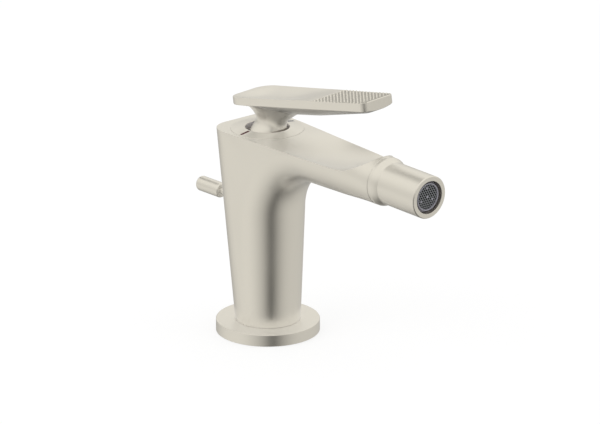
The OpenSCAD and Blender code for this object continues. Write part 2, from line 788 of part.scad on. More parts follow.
// Stem: bell, waist and a flare that spreads into the underside of the lever
stem_n = 40;
function flare_r(a) = let (front = max(0, -sin(a)), back = max(0, sin(a)))
    flare_side + flare_fore * pow(front, 2) - flare_aft * pow(back, 2);
function under_at(x, y) = let (
    u = -y / cos(lever_tilt),
    f = min(1, abs(x) / lever_w(u)))
    lever_z0 + u * sin(lever_tilt)
    - (edge_h(u) + lookup(u, lever_crown) * (1 - pow(f, crown_power))) / cos(lever_tilt);
function waist_r(a) = waist_w * waist_len / sqrt(pow(waist_len * cos(a), 2) + pow(waist_w * sin(a), 2));
function bell_ring(r, z) = [for (k = [0 : stem_n - 1]) let (a = 360 * k / stem_n)
    [r * cos(a), -bell_fore + r * sin(a), z]];
function trumpet_ring(t) = [for (k = [0 : stem_n - 1]) let (
    a = 360 * k / stem_n,
    s = pow(1 - t, bell_power),
    r = mix(waist_r(a), bell_r, s),
    z = mix(bell_z + bell_edge, waist_z, t))
    [r * cos(a), -mix(stem_fore, bell_fore, s) + r * sin(a), z]];
function flare_ring(t) = [for (k = [0 : stem_n - 1]) let (
    a = 360 * k / stem_n,
    big = flare_r(a),
    r = mix(waist_r(a), big, pow(1 - cos(90 * t), flare_power)),
    top = under_at(big * cos(a), -stem_fore + big * sin(a)) + flare_sink,
    z = mix(waist_z, top, sin(90 * t)))
    [r * cos(a), -stem_fore + r * sin(a), z]];
function flare_cap() = [for (k = [0 : stem_n - 1]) let (
    a = 360 * k / stem_n,
    r = flare_r(a) * flare_cap_share)
    lever_pt(r * cos(a), stem_fore - r * sin(a), flare_cap_w)];
stem_rings = concat(
    [bell_ring(bell_r - bell_edge, bell_z), bell_ring(bell_r, bell_z + bell_edge)],
    [for (k = [1 : 5]) trumpet_ring(k / 6)],
    [for (k = [0 : 8]) flare_ring(k / 8)],
    [flare_cap()]);

// Lever with its stem, the square socket for the spindle and the bore for the grub screw
module lever_handle() {
    socket_half = spindle_w / 2 + fit_gap;
    color(nickel)
        difference() {
            union() {
                skin([for (u = lever_steps) lever_ring(u)]);
                skin(stem_rings);
            }
            translate([-socket_half, -socket_half, bell_z - over])
                cube([2 * socket_half, 2 * socket_half, socket_top - bell_z + over]);
            translate([0, 0, screw_z])
                rotate([-90, 0, 0])
                    cylinder(r = screw_r, h = waist_len + over, $fn = 48);
        }
}

// Grub screw that clamps the lever on the square spindle
module lever_screw() {
    color(steel)
        translate([0, spindle_w / 2, screw_z])
            rotate([-90, 0, 0])
                difference() {
                    cylinder(r = screw_r - eps, h = screw_len, $fn = 48);
                    translate([0, 0, hex_start])
                        cylinder(r = hex_r, h = screw_len, $fn = 6);
                }
}

// Plug that closes the bore of the grub screw at the back of the stem
module screw_cap() {
    cap_start = spindle_w / 2 + screw_len;
    color(nickel)
        translate([0, cap_start, screw_z])
            rotate([-90, 0, 0])
                cylinder(r = screw_r - eps, h = waist_len - stem_fore - cap_sink - cap_start, $fn = 48);
}

// Arc of a circle about the ball centre, as points of a turned profile, by angle from the axis
function arc_pts(r, from, to, n) = [for (k = [0 : n]) let (a = mix(from, to, k / n))
    [r * sin(a), r * cos(a)]];

// Collar screwed into the spout: rim, spherical dome and the front half of the ball socket
module spout_collar() {
    rim_angle = atan2(collar_r, ball_back + collar_rim);
    mouth_in = asin(neck_r / ball_r) + swing + swing_spare;
    mouth_out = asin(neck_r / dome_r) + swing + swing_spare;
    bore_r = seat_r + slide_gap;
    socket_r = ball_r + socket_gap;
    thread_end = ball_back - thread_len + joint_gap;
    color(nickel)
        on_ball()
            rotate_extrude()
                polygon(concat(
                    [[bore_r, thread_end], [thread_r - fit_gap, thread_end], [thread_r - fit_gap, ball_back],
                        [collar_r - collar_chamfer, ball_back], [collar_r, ball_back + collar_chamfer]],
                    arc_pts(dome_r, rim_angle, mouth_out, 14),
                    arc_pts(socket_r, mouth_in, socket_angle, 14),
                    [[bore_r, socket_r * cos(socket_angle)]]));
}

// Plastic seat behind the ball, which turns with it
module ball_seat_ring() {
    socket_r = ball_r + socket_gap;
    back = asin(seat_back / socket_r);
    color(plastic)
        on_ball()
            rotate_extrude()
                polygon(concat([[seat_r, seat_front], [seat_r, -seat_back]],
                    arc_pts(socket_r, 90 + back, seat_angle, 8)));
}

// Swivel ball with its neck and water way, flat at the back
module nozzle_ball() {
    color(steel)
        on_ball()
            difference() {
                union() {
                    sphere(r = ball_r);
                    cylinder(r = neck_r, h = neck_end);
                }
                translate([0, 0, -ball_r])
                    cylinder(r = neck_bore_r, h = ball_r + neck_end + over);
                translate([-ball_r, -ball_r, -2 * ball_r - ball_flat])
                    cube([2 * ball_r, 2 * ball_r, 2 * ball_r]);
            }
}

// Nozzle: hollow sleeve whose rear rim slides over the dome of the collar
module nozzle_sleeve() {
    r_back = dome_r + dome_gap;
    bore = neck_r + fit_gap;
    color(nickel)
        on_ball()
            rotate_extrude()
                polygon(concat(
                    arc_pts(r_back, asin(bore / r_back), asin(nozzle_r / r_back), 14),
                    [[nozzle_r, nozzle_reach - nozzle_chamfer], [nozzle_r - nozzle_chamfer, nozzle_reach],
                        [mouth_r, nozzle_reach], [mouth_r, shoulder_d], [chamber_r, shoulder_d],
                        [chamber_r, neck_end], [bore, neck_end]]));
}

// Rubber ring behind the aerator insert
module aerator_seal() {
    color(rubber)
        on_ball()
            ring_shape(mouth_r - joint_gap, seal_bore_r, shoulder_d, shoulder_d + seal_h);
}

// Aerator insert: cup with a raised rim round the screen and six jets in its floor
module aerator_housing() {
    color([0.42, 0.41, 0.44])
        on_ball()
            difference() {
                rotate_extrude()
                    polygon([[insert_core_r, insert_back], [insert_r, insert_back],
                        [insert_r, insert_face - insert_step], [insert_rim_r, insert_face - insert_step],
                        [insert_rim_r, insert_face], [screen_r, insert_face],
                        [screen_r, screen_face - screen_h], [screen_r - screen_ledge, screen_face - screen_h],
                        [screen_r - screen_ledge, insert_back + insert_floor],
                        [insert_core_r, insert_back + insert_floor]]);
                for (a = [0 : 60 : 300])
                    rotate([0, 0, a])
                        translate([screen_r * jet_ring, 0, insert_back - eps])
                            cylinder(r = jet_r, h = insert_floor + over, $fn = 24);
            }
}

// Honeycomb screen of the aerator
module aerator_screen() {
    row_step = screen_pitch * sin(60);
    holes_r = screen_r - screen_hole_d / 2 - screen_edge;
    rows = floor(holes_r / row_step);
    color([0.25, 0.26, 0.28])
        on_ball()
            difference() {
                translate([0, 0, screen_face - screen_h])
                    cylinder(r = screen_r - fit_gap, h = screen_h);
                for (row = [-rows : rows], col = [-rows - 1 : rows + 1]) {
                    x = (col + (abs(row) % 2) / 2) * screen_pitch;
                    y = row * row_step;
                    if (norm([x, y]) < holes_r)
                        translate([x, y, screen_face - screen_h - eps])
                            cylinder(d = screen_hole_d, h = screen_h + 2 * eps, $fn = 16);
                }
            }
}

// Plastic bush that guides the pull rod
module rod_guide_bush() {
    color(plastic)
        translate([0, rod_y, 0])
            ring_shape(channel_r - fit_gap, rod_r + slide_gap, bush_z, bush_z + bush_len);
}

// Pull rod with a head for the knob and a tapped lower end for its extension
module pull_rod() {
    color(steel)
        difference() {
            union() {
                rod_at(0, rod_y, rod_low, head_z + eps, rod_r);
                rod_at(0, rod_y, head_z, head_z + head_h, head_r);
            }
            rod_at(0, rod_y, rod_low - eps, rod_low + coupling_depth, coupling_r);
            translate([0, rod_y - shank_bury, knob_z])
                rotate([-90, 0, 0])
                    cylinder(r = shank_r, h = head_r + over, $fn = 48);
        }
}

// Shank between the head of the pull rod and the knob
module knob_shank() {
    color(nickel)
        translate([0, rod_y - shank_bury, knob_z])
            rotate([-90, 0, 0])
                cylinder(r = shank_r - eps, h = knob_near + knob_bore - rod_y + shank_bury, $fn = 48);
}

// Knob with rounded ends, turned about the Y axis
module pull_knob() {
    near = knob_r - knob_near_round;
    far = knob_r - knob_round;
    color(nickel)
        translate([0, knob_near, knob_z])
            rotate([-90, 0, 0])
                rotate_extrude()
                    polygon(concat(
                        [[shank_r, 0]],
                        [for (a = [0 : 18 : 90])
                            [near + knob_near_round * sin(a), knob_near_round * (1 - cos(a))]],
                        [for (a = [0 : 22.5 : 90])
                            [far + knob_round * cos(a), knob_len - knob_round * (1 - sin(a))]],
                        [[0, knob_len], [0, knob_bore], [shank_r, knob_bore]]));
}

body_casting();
base_escutcheon();
base_gasket();
cover_ring();
hot_mark();
cold_mark();
cartridge_nut();
cartridge_housing();
cartridge_base();
cartridge_seals();
fixed_disc();
turn_lever() spindle_carrier();
turn_lever() spindle_pin();
turn_lever() cartridge_spindle();
moving_disc();
disc_carrier();
turn_lever() lever_handle();
turn_lever() lever_screw();
turn_lever() screw_cap();
spout_collar();
ball_seat_ring();
nozzle_ball();
nozzle_sleeve();
aerator_seal();
aerator_housing();
aerator_screen();
rod_guide_bush();
pull_rod();
knob_shank();
pull_knob();
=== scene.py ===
import math

import bmesh
import bpy
from bpy.props import FloatProperty, FloatVectorProperty, IntProperty, PointerProperty
from mathutils import Matrix, Vector


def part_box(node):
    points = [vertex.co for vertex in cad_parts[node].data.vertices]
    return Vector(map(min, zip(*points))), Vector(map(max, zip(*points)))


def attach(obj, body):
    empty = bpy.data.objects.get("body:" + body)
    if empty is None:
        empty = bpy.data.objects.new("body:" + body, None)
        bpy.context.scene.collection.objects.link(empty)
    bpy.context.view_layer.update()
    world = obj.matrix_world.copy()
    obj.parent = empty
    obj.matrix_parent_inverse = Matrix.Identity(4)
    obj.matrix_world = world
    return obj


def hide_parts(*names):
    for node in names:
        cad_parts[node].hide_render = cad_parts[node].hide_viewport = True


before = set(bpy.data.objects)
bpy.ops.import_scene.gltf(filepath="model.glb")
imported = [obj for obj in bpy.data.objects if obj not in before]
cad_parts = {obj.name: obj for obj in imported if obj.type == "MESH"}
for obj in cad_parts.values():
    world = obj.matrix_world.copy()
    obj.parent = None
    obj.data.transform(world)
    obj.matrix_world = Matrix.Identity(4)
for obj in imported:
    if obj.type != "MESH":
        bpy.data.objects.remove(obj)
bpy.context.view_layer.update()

bl_info = {
    "name": "Bidet Mixer",
    "version": (1, 0, 0),
    "blender": (4, 5, 0),
    "location": "View3D > Sidebar > Mixer",
    "description": "Dresses the packed bidet mixer: cast body, lever, nozzle, trim, materials and stage",
    "category": "Object",
}

MM = 0.001

# Distances under which points of a mesh count as one, in metres
MIRROR_MERGE = 1e-6
POINT_MERGE = 2e-6
SHORT_EDGE = 1e-7


def node_size(name, axis):
    """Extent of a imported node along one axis, in metres."""
    low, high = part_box(name)
    return high[axis] - low[axis]


def mix(a, b, t):
    """Value at a share t of the way from a to b."""
    return a + (b - a) * t


def ease(t):
    """Soft step from 0 at t = 0 to 1 at t = 1, level at both ends."""
    c = min(1.0, max(0.0, t))
    return c * c * (3 - 2 * c)


def lookup(table, key):
    """Straight interpolation in a table of (key, value) pairs."""
    if key <= table[0][0]:
        return table[0][1]
    for (k0, v0), (k1, v1) in zip(table, table[1:]):
        if key <= k1:
            return mix(v0, v1, (key - k0) / (k1 - k0))
    return table[-1][1]


# ---------------------------------------------------------------- sizes and colours on the panel

class MixerBodySizes(bpy.types.PropertyGroup):
    """Sizes of the cast body"""
    base_diameter: FloatProperty(
        name="Base diameter", description="Diameter of the base disc", unit="LENGTH", precision=4,
        default=node_size("base_escutcheon", 0))
    base_height: FloatProperty(
        name="Base height", description="Height of the base disc's upper face", unit="LENGTH",
        precision=4, default=0.0065)
    foot_diameter: FloatProperty(
        name="Foot diameter", description="Diameter of the round foot of the column", unit="LENGTH",
        precision=4, default=0.034)
    top_half_width: FloatProperty(
        name="Top half width", description="Half width of the column at its top edge", unit="LENGTH",
        precision=4, default=0.0209)
    top_back: FloatProperty(
        name="Top back", description="Distance from the lever axis to the back at the top edge",
        unit="LENGTH", precision=4, default=0.023)
    top_height: FloatProperty(
        name="Top height", description="Height of the top edge above the deck", unit="LENGTH",
        precision=4, default=0.1093)
    corner_radius: FloatProperty(
        name="Back corner radius", description="Radius of the back corners at the top edge",
        unit="LENGTH", precision=4, default=0.0117)
    hollow_radius: FloatProperty(
        name="Hollow radius", description="Radius of the hollow between column and spout",
        unit="LENGTH", precision=4, default=0.024)
    spout_length: FloatProperty(
        name="Spout length", description="Distance from the lever axis to the end of the spout",
        unit="LENGTH", precision=4, default=0.089)
    spout_diameter: FloatProperty(
        name="Spout end diameter", description="Diameter of the round end of the spout",
        unit="LENGTH", precision=4, default=0.0248)
    axis_drop: FloatProperty(
        name="Axis drop", description="Depth of the spout axis below the top edge, at the lever axis",
        unit="LENGTH", precision=4, default=0.0039)
    pitch: FloatProperty(
        name="Spout pitch", description="Downward pitch of the spout axis", unit="ROTATION",
        default=math.radians(1.5))
    scoop_depth: FloatProperty(
        name="Scoop depth", description="Depth of the scoop below the top edge", unit="LENGTH",
        precision=4, default=0.0045)
    edge_round: FloatProperty(
        name="Edge rounding", description="Rounding of the crisp upper edge", unit="LENGTH",
        precision=5, default=0.00028)


class MixerLeverSizes(bpy.types.PropertyGroup):
    """Sizes of the lever"""
    face_height: FloatProperty(
        name="Face height", description="Height of the lever's upper face at its axis, above the deck",
        unit="LENGTH", precision=4, default=0.12865)
    tilt: FloatProperty(
        name="Tilt", description="Tilt of the lever at rest", unit="ROTATION",
        default=math.radians(9))
    turn: FloatProperty(
        name="Turn", description="Turn of the lever from the middle plane at rest", unit="ROTATION",
        default=math.radians(7))
    front: FloatProperty(
        name="Front length", description="Length forward of the axis, along the face",
        unit="LENGTH", precision=4, default=0.0756)
    back: FloatProperty(
        name="Back length", description="Length behind the axis, along the face",
        unit="LENGTH", precision=4, default=0.0152)
    half_width: FloatProperty(
        name="Half width", description="Half width at the axis", unit="LENGTH", precision=4,
        default=0.0144)
    hollow_depth: FloatProperty(
        name="Hollow depth", description="Depth of the hollow in the upper face", unit="LENGTH",
        precision=4, default=0.002)
    grip_start: FloatProperty(
        name="Grip start", description="Distance from the axis at which the knurled grip starts",
        unit="LENGTH", precision=4, default=0.0428)
    grip_pitch: FloatProperty(
        name="Grip pitch", description="Distance between neighbouring points of the knurl",
        unit="LENGTH", precision=5, default=0.00245)
    grip_depth: FloatProperty(
        name="Grip depth", description="Depth of the knurl from point to valley", unit="LENGTH",
        precision=5, default=0.0008)
    edge_round: FloatProperty(
        name="Edge rounding", description="Rounding of the edges", unit="LENGTH", precision=5,
        default=0.0004)


class MixerTrimSizes(bpy.types.PropertyGroup):
    """Sizes of the turned trim"""
    nozzle_diameter: FloatProperty(
        name="Nozzle diameter", description="Outer diameter of the nozzle", unit="LENGTH",
        precision=4, default=node_size("nozzle_sleeve", 0))
    nozzle_reach: FloatProperty(
        name="Nozzle reach", description="Distance from the swivel ball to the open face",
        unit="LENGTH", precision=4, default=0.0336)
    mouth_diameter: FloatProperty(
        name="Mouth diameter", description="Diameter of the opening in the nozzle", unit="LENGTH",
        precision=5, default=0.01672)
    screen_pitch: FloatProperty(
        name="Screen pitch", description="Distance between neighbouring cells of the aerator screen",
        unit="LENGTH", precision=5, default=0.00135)
    ring_diameter: FloatProperty(
        name="Cover ring diameter", description="Outer diameter of the cover ring", unit="LENGTH",
        precision=4, default=node_size("cover_ring", 0))
    knob_diameter: FloatProperty(
        name="Knob diameter", description="Diameter of the pull knob", unit="LENGTH", precision=4,
        default=node_size("pull_knob", 0))
    turned_steps: IntProperty(
        name="Turning steps", description="Steps round a turned piece", min=24, max=256, default=128)


class MixerFinish(bpy.types.PropertyGroup):
    """Colours of the finishes"""
    nickel: FloatVectorProperty(
        name="Satin nickel", description="Colour of the satin nickel finish", subtype="COLOR",
        size=3, min=0, max=1, default=(0.73, 0.692, 0.602))
    nickel_roughness: FloatProperty(
        name="Nickel roughness", description="Roughness of the satin nickel finish", min=0, max=1,
        default=0.36)
    background: FloatProperty(
        name="Background", description="Brightness of the backdrop seen by the camera", min=0, max=1,
        default=1.0)
    room: FloatProperty(
        name="Room light", description="Brightness of the soft light round the mixer", min=0, max=2,
        default=0.9)


# ---------------------------------------------------------------- mesh making

# Most of an edge that the rounding at one of its ends may take
EDGE_SHARE = 0.49


class Skin:
    """Points and faces of one piece, in millimetres."""

    def __init__(self):
        self.points = []
        self.faces = []

    def row(self, points):
        """Adds a row of points; gives back their indices."""
        first = len(self.points)
        self.points.extend(tuple(p) for p in points)
        return list(range(first, len(self.points)))

    def strip(self, a, b, closed=False):
        """Quads between two rows of equal length."""
        count = len(a) if closed else len(a) - 1
        for k in range(count):
            n = (k + 1) % len(a)
            self.faces.append((a[k], a[n], b[n], b[k]))

    def rows(self, rows, closed=False):
        """Quads through a list of rows of points; gives back the rows of indices."""
        made = [self.row(r) for r in rows]
        for a, b in zip(made, made[1:]):
            self.strip(a, b, closed)
        return made

    def fan(self, row, middle, closed=False):
        """Triangles from a row to one point in the middle."""
        centre = self.row([middle])[0]
        count = len(row) if closed else len(row) - 1
        for k in range(count):
            self.faces.append((row[k], row[(k + 1) % len(row)], centre))

    def join(self, other, shift=(0, 0, 0)):
        """Takes in the points and faces of another skin, moved by a shift."""
        first = len(self.points)
        self.points.extend(tuple(Vector(p) + Vector(shift)) for p in other.points)
        self.faces.extend(tuple(i + first for i in face) for face in other.faces)

    def mesh(self, name, place=None, mirrored=False):
        """Blender mesh in metres: joined, mirrored in x if asked, and with its faces outwards."""
        bm = bmesh.new()
        verts = [bm.verts.new(Vector(p) * MM) for p in self.points]
        for face in self.faces:
            corners = []
            for index in face:
                if verts[index] not in corners:
                    corners.append(verts[index])
            if len(corners) > 2:
                try:
                    bm.faces.new(corners)
                except ValueError:
                    continue
        if mirrored:
            bmesh.ops.mirror(bm, geom=bm.verts[:] + bm.edges[:] + bm.faces[:], axis="X",
                             merge_dist=MIRROR_MERGE)
        bmesh.ops.remove_doubles(bm, verts=bm.verts[:], dist=POINT_MERGE)
        bmesh.ops.dissolve_degenerate(bm, edges=bm.edges[:], dist=SHORT_EDGE)
        loose = [v for v in bm.verts if not v.link_faces]
        bmesh.ops.delete(bm, geom=loose, context="VERTS")
        if place is not None:
            bmesh.ops.transform(bm, matrix=place, verts=bm.verts[:])
        bmesh.ops.recalc_face_normals(bm, faces=bm.faces[:])
        mesh = bpy.data.meshes.new(name)
        bm.to_mesh(mesh)
        bm.free()
        return mesh


def bezier(a, corner, b, steps):
    """Points between a and b, both left out, that round off the corner."""
    a, corner, b = Vector(a), Vector(corner), Vector(b)
    made = []
    for k in range(1, steps):
        t = k / steps
        made.append(a * (1 - t) ** 2 + corner * 2 * t * (1 - t) + b * t ** 2)
    return made


def rounded_profile(points, steps=4):
    """Closed profile of (radius, height, rounding) points with its corners rounded."""
    made = []
    count = len(points)
    for k, (r, h, rounding) in enumerate(points):
        here = Vector((r, h))
        if rounding <= 0:
            made.append(tuple(here))
            continue
        before = Vector(points[k - 1][:2])
        after = Vector(points[(k + 1) % count][:2])
        reach = min(rounding, (before - here).length * EDGE_SHARE, (after - here).length * EDGE_SHARE)
        a = here + (before - here).normalized() * reach
        b = here + (after - here).normalized() * reach
        made.append(tuple(a))
        made.extend(tuple(p.xy) for p in bezier(a.to_3d(), here.to_3d(), b.to_3d(), steps))
        made.append(tuple(b))
    return made


def turned(profile, steps):
    """Skin of a closed profile of (radius, height) points turned about +Z."""
    skin = Skin()
    rings = []
    for k in range(steps):
        a = 2 * math.pi * k / steps
        rings.append(skin.row([(r * math.cos(a), r * math.sin(a), h) for r, h in profile]))
    for k in range(steps):
        skin.strip(rings[k], rings[(k + 1) % steps], closed=True)
    return skin


def arc_profile(radius, start, stop, steps, rounding=0.0):
    """Arc about the origin, by angle from the axis in degrees, as (radius, height, rounding) points."""
    made = []
    for k in range(steps + 1):
        a = math.radians(mix(start, stop, k / steps))
        made.append((radius * math.sin(a), radius * math.cos(a), rounding if k in (0, steps) else 0.0))
    return made


def prism(outline, low, high):
    """Skin of an outline of (x, y) points between two heights."""
    skin = Skin()
    bottom = skin.row([(x, y, low) for x, y in outline])
    top = skin.row([(x, y, high) for x, y in outline])
    skin.strip(bottom, top, closed=True)
    skin.faces.append(tuple(reversed(bottom)))
    skin.faces.append(tuple(top))
    return skin


def circle_points(radius, steps, x=0.0, y=0.0):
    """Points of a circle about (x, y)."""
    angles = [2 * math.pi * k / steps for k in range(steps)]
    return [(x + radius * math.cos(a), y + radius * math.sin(a)) for a in angles]


def rod(radius, low, high, x=0.0, y=0.0, steps=48):
    """Upright round rod at (x, y) between two heights."""
    return prism(circle_points(radius, steps, x, y), low, high)


def carved(mesh, cutters, keep=None):
    """The mesh after its cutters are taken away and, if given, a second mesh is joined to it."""
    base = bpy.data.objects.new("carving", mesh)
    bpy.context.scene.collection.objects.link(base)
    helpers = []
    plan = [(m, "UNION") for m in (keep or [])] + [(m, "DIFFERENCE") for m in cutters]
    for number, (part, operation) in enumerate(plan):
        helper = bpy.data.objects.new(f"carving_tool_{number}", part)
        bpy.context.scene.collection.objects.link(helper)
        helpers.append(helper)
        step = base.modifiers.new(f"step_{number}", "BOOLEAN")
        step.operation = operation
        step.solver = "EXACT"
        step.object = helper
    bpy.context.view_layer.update()
    graph = bpy.context.evaluated_depsgraph_get()
    made = bpy.data.meshes.new_from_object(base.evaluated_get(graph))
    made.name = mesh.name
    for old in [base] + helpers:
        data = old.data
        bpy.data.objects.remove(old)
        bpy.data.meshes.remove(data)
    return made


def add_piece(name, mesh, material, body, stands_for=(), sharp=32.0):
    """Links a finished mesh as a piece, smooth up to the sharp angle, and ties it to its body."""
    mesh.materials.clear()
    mesh.materials.append(material)
    for polygon in mesh.polygons:
        polygon.use_smooth = True
        polygon.material_index = 0
    mesh.set_sharp_from_angle(angle=math.radians(sharp))
    piece = bpy.data.objects.new(name, mesh)
    bpy.context.scene.collection.objects.link(piece)
    weights = piece.modifiers.new("weighted_normals", "WEIGHTED_NORMAL")
    weights.keep_sharp = True
    weights.mode = "FACE_AREA_WITH_ANGLE"
    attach(piece, body)
    if stands_for:
        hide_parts(*stands_for)
    return piece


def add_second_finish(piece, material, chosen):
    """Gives a second material to the faces of a piece that the test chooses."""
    piece.data.materials.append(material)
    for polygon in piece.data.polygons:
        if chosen(polygon):
            polygon.material_index = 1


# ---------------------------------------------------------------- shader nodes

FLOAT = "NodeSocketFloat"
VECTOR = "NodeSocketVector"


def new_group(name, inputs, outputs):
    """Shader node group with inputs (label, kind, default) and outputs (label, kind)."""
    group = bpy.data.node_groups.new(name, "ShaderNodeTree")
    for label, kind, default in inputs:
        socket = group.interface.new_socket(label, in_out="INPUT", socket_type=kind)
        if default is not None:
            socket.default_value = default
    for label, kind in outputs:
        group.interface.new_socket(label, in_out="OUTPUT", socket_type=kind)
    return group, group.nodes.new("NodeGroupInput"), group.nodes.new("NodeGroupOutput")


def plug(tree, value, socket):
    """Links another node's output to a socket, or sets the socket to a plain value."""
    if isinstance(value, bpy.types.NodeSocket):
        tree.links.new(value, socket)
    else:
        socket.default_value = value


def add_math(tree, operation, first, second=None):
    """Result of one sum on sockets or numbers."""
    node = tree.nodes.new("ShaderNodeMath")
    node.operation = operation
    plug(tree, first, node.inputs[0])
    if second is not None:
        plug(tree, second, node.inputs[1])
    return node.outputs[0]


def add_noise(tree, vector, scale, detail, roughness=0.5):
    """Noise over a surface, from 0 to 1."""
    node = tree.nodes.new("ShaderNodeTexNoise")
    node.inputs["Detail"].default_value = detail
    node.inputs["Roughness"].default_value = roughness
    plug(tree, scale, node.inputs["Scale"])
    plug(tree, vector, node.inputs["Vector"])
    return node.outputs["Fac"]


def add_range(tree, value, low, high, to_low, to_high, smooth=False):
    """A value brought from one range to another, and held at its ends."""
    node = tree.nodes.new("ShaderNodeMapRange")
    if smooth:
        node.interpolation_type = "SMOOTHSTEP"
    for label, number in (("Value", value), ("From Min", low), ("From Max", high),
                          ("To Min", to_low), ("To Max", to_high)):
        plug(tree, number, node.inputs[label])
    return node.outputs["Result"]


def add_mix(tree, mask, first, second, kind="FLOAT"):
    """Numbers, or colours of the kind RGBA, mixed by a mask."""
    node = tree.nodes.new("ShaderNodeMix")
    node.data_type = kind
    for label, value in (("Factor", mask), ("A", first), ("B", second)):
        plug(tree, value, node.inputs[label])
    return node.outputs["Result"]


def add_parts(tree, vector):
    """The three parts of a vector."""
    node = tree.nodes.new("ShaderNodeSeparateXYZ")
    plug(tree, vector, node.inputs["Vector"])
    return node.outputs["X"], node.outputs["Y"], node.outputs["Z"]


def add_levels(tree, value, levels):
    """Straight interpolation of (value, level) pairs by a ramp."""
    low, high = levels[0][0], levels[-1][0]
    node = tree.nodes.new("ShaderNodeValToRGB")
    stops = node.color_ramp.elements
    stops.remove(stops[-1])
    for index, (key, level) in enumerate(levels):
        stop = stops[0] if index == 0 else stops.new((key - low) / (high - low))
        stop.color = (level, level, level, 1)
    plug(tree, add_range(tree, value, low, high, 0.0, 1.0), node.inputs["Fac"])
    return node.outputs["Color"]


# ---------------------------------------------------------------- finishes

# Sizes of the features in a finish, as noise scales
GRAIN_SCALE = 5200.0
CLOUD_SCALE = 46.0
SPECKLE_SCALE = 1800.0
WAVE_SCALE = 160.0
# Part of the grain in a plating's roughness and of the speckle in a moulding's height
GRAIN_PART = 0.35
SPECKLE_PART = 0.6
# Middle stretch of a noise that is spread from 0 to 1
NOISE_MIDDLE = (0.3, 0.7)
# Wander of a metal's roughness to either side of its own
ROUGHNESS_WANDER = 0.03
# Heights of the grain and of the speckle, in metres, and how strongly they show
GRAIN_HEIGHT = 0.00002
SPECKLE_HEIGHT = 0.00004
SPECKLE_STRENGTH = 0.15


def satin_grain_group():
    """Fine blasted grain of a satin plating: height, roughness and a faint mottling of the tone."""
    name = "satin_grain"
    if name in bpy.data.node_groups:
        return bpy.data.node_groups[name]
    group, start, end = new_group(
        name,
        [("Grain Scale", FLOAT, GRAIN_SCALE), ("Roughness Low", FLOAT, 0.3), ("Roughness High", FLOAT, 0.4)],
        [("Height", FLOAT), ("Roughness", FLOAT), ("Mottle", FLOAT)])
    place = group.nodes.new("ShaderNodeTexCoord").outputs["Object"]
    grain = add_noise(group, place, start.outputs["Grain Scale"], 2.0, 0.6)
    cloud = add_noise(group, place, CLOUD_SCALE, 3.0)
    blend = add_math(group, "ADD", add_math(group, "MULTIPLY", grain, GRAIN_PART),
                     add_math(group, "MULTIPLY", cloud, 1 - GRAIN_PART))
    rough = add_range(group, blend, *NOISE_MIDDLE, start.outputs["Roughness Low"],
                      start.outputs["Roughness High"])
    plug(group, grain, end.inputs["Height"])
    plug(group, rough, end.inputs["Roughness"])
    plug(group, add_range(group, cloud, *NOISE_MIDDLE, 0.0, 1.0), end.inputs["Mottle"])
    return group


def moulded_group():
    """Faint waviness and speckle of moulded plastic, rubber and fired ceramic."""
    name = "moulded_surface"
    if name in bpy.data.node_groups:
        return bpy.data.node_groups[name]
    group, start, end = new_group(
        name, [("Speckle Scale", FLOAT, SPECKLE_SCALE)], [("Height", FLOAT), ("Mottle", FLOAT)])
    place = group.nodes.new("ShaderNodeTexCoord").outputs["Object"]
    speckle = add_noise(group, place, start.outputs["Speckle Scale"], 3.0, 0.6)
    wave = add_noise(group, place, WAVE_SCALE, 2.0)
    height = add_math(group, "ADD", add_math(group, "MULTIPLY", speckle, SPECKLE_PART),
                      add_math(group, "MULTIPLY", wave, 1 - SPECKLE_PART))
    plug(group, height, end.inputs["Height"])
    plug(group, add_range(group, wave, *NOISE_MIDDLE, 0.0, 1.0), end.inputs["Mottle"])
    return group


def base_material(name):
    """Material with its tree cleared, a Principled shader and an output."""
    material = bpy.data.materials.new(name)
    material.use_nodes = True
    tree = material.node_tree
    tree.nodes.clear()
    shader = tree.nodes.new("ShaderNodeBsdfPrincipled")
    output = tree.nodes.new("ShaderNodeOutputMaterial")
    plug(tree, shader.outputs["BSDF"], output.inputs["Surface"])
    return material, tree, shader


def add_tone(tree, mask, colour, spread):
    """Colour that wanders a little about its tone with the mask."""
    darker = [c * (1 - spread) for c in colour] + [1.0]
    lighter = [min(1.0, c * (1 + spread)) for c in colour] + [1.0]
    return add_mix(tree, mask, darker, lighter, "RGBA")


def add_bump(tree, shader, height, strength, distance):
    """Fine relief in the normal of a shader."""
    bump = tree.nodes.new("ShaderNodeBump")
    bump.inputs["Strength"].default_value = strength
    bump.inputs["Distance"].default_value = distance
    plug(tree, height, bump.inputs["Height"])
    plug(tree, bump.outputs["Normal"], shader.inputs["Normal"])


def metal(name, colour, roughness, spread=0.012, grain_scale=GRAIN_SCALE, strength=0.12, dress=None):
    """Satin metal with fine grain in roughness and normal. A dress function may change its tone."""
    if name in bpy.data.materials:
        return bpy.data.materials[name]
    material, tree, shader = base_material(name)
    shader.inputs["Metallic"].default_value = 1.0
    grain = tree.nodes.new("ShaderNodeGroup")
    grain.node_tree = satin_grain_group()
    grain.inputs["Grain Scale"].default_value = grain_scale
    grain.inputs["Roughness Low"].default_value = roughness - ROUGHNESS_WANDER
    grain.inputs["Roughness High"].default_value = roughness + ROUGHNESS_WANDER
    plug(tree, grain.outputs["Roughness"], shader.inputs["Roughness"])
    tone = add_tone(tree, grain.outputs["Mottle"], colour, spread)
    if dress:
        tone = dress(tree, tone)
    plug(tree, tone, shader.inputs["Base Color"])
    add_bump(tree, shader, grain.outputs["Height"], strength, GRAIN_HEIGHT)
    return material


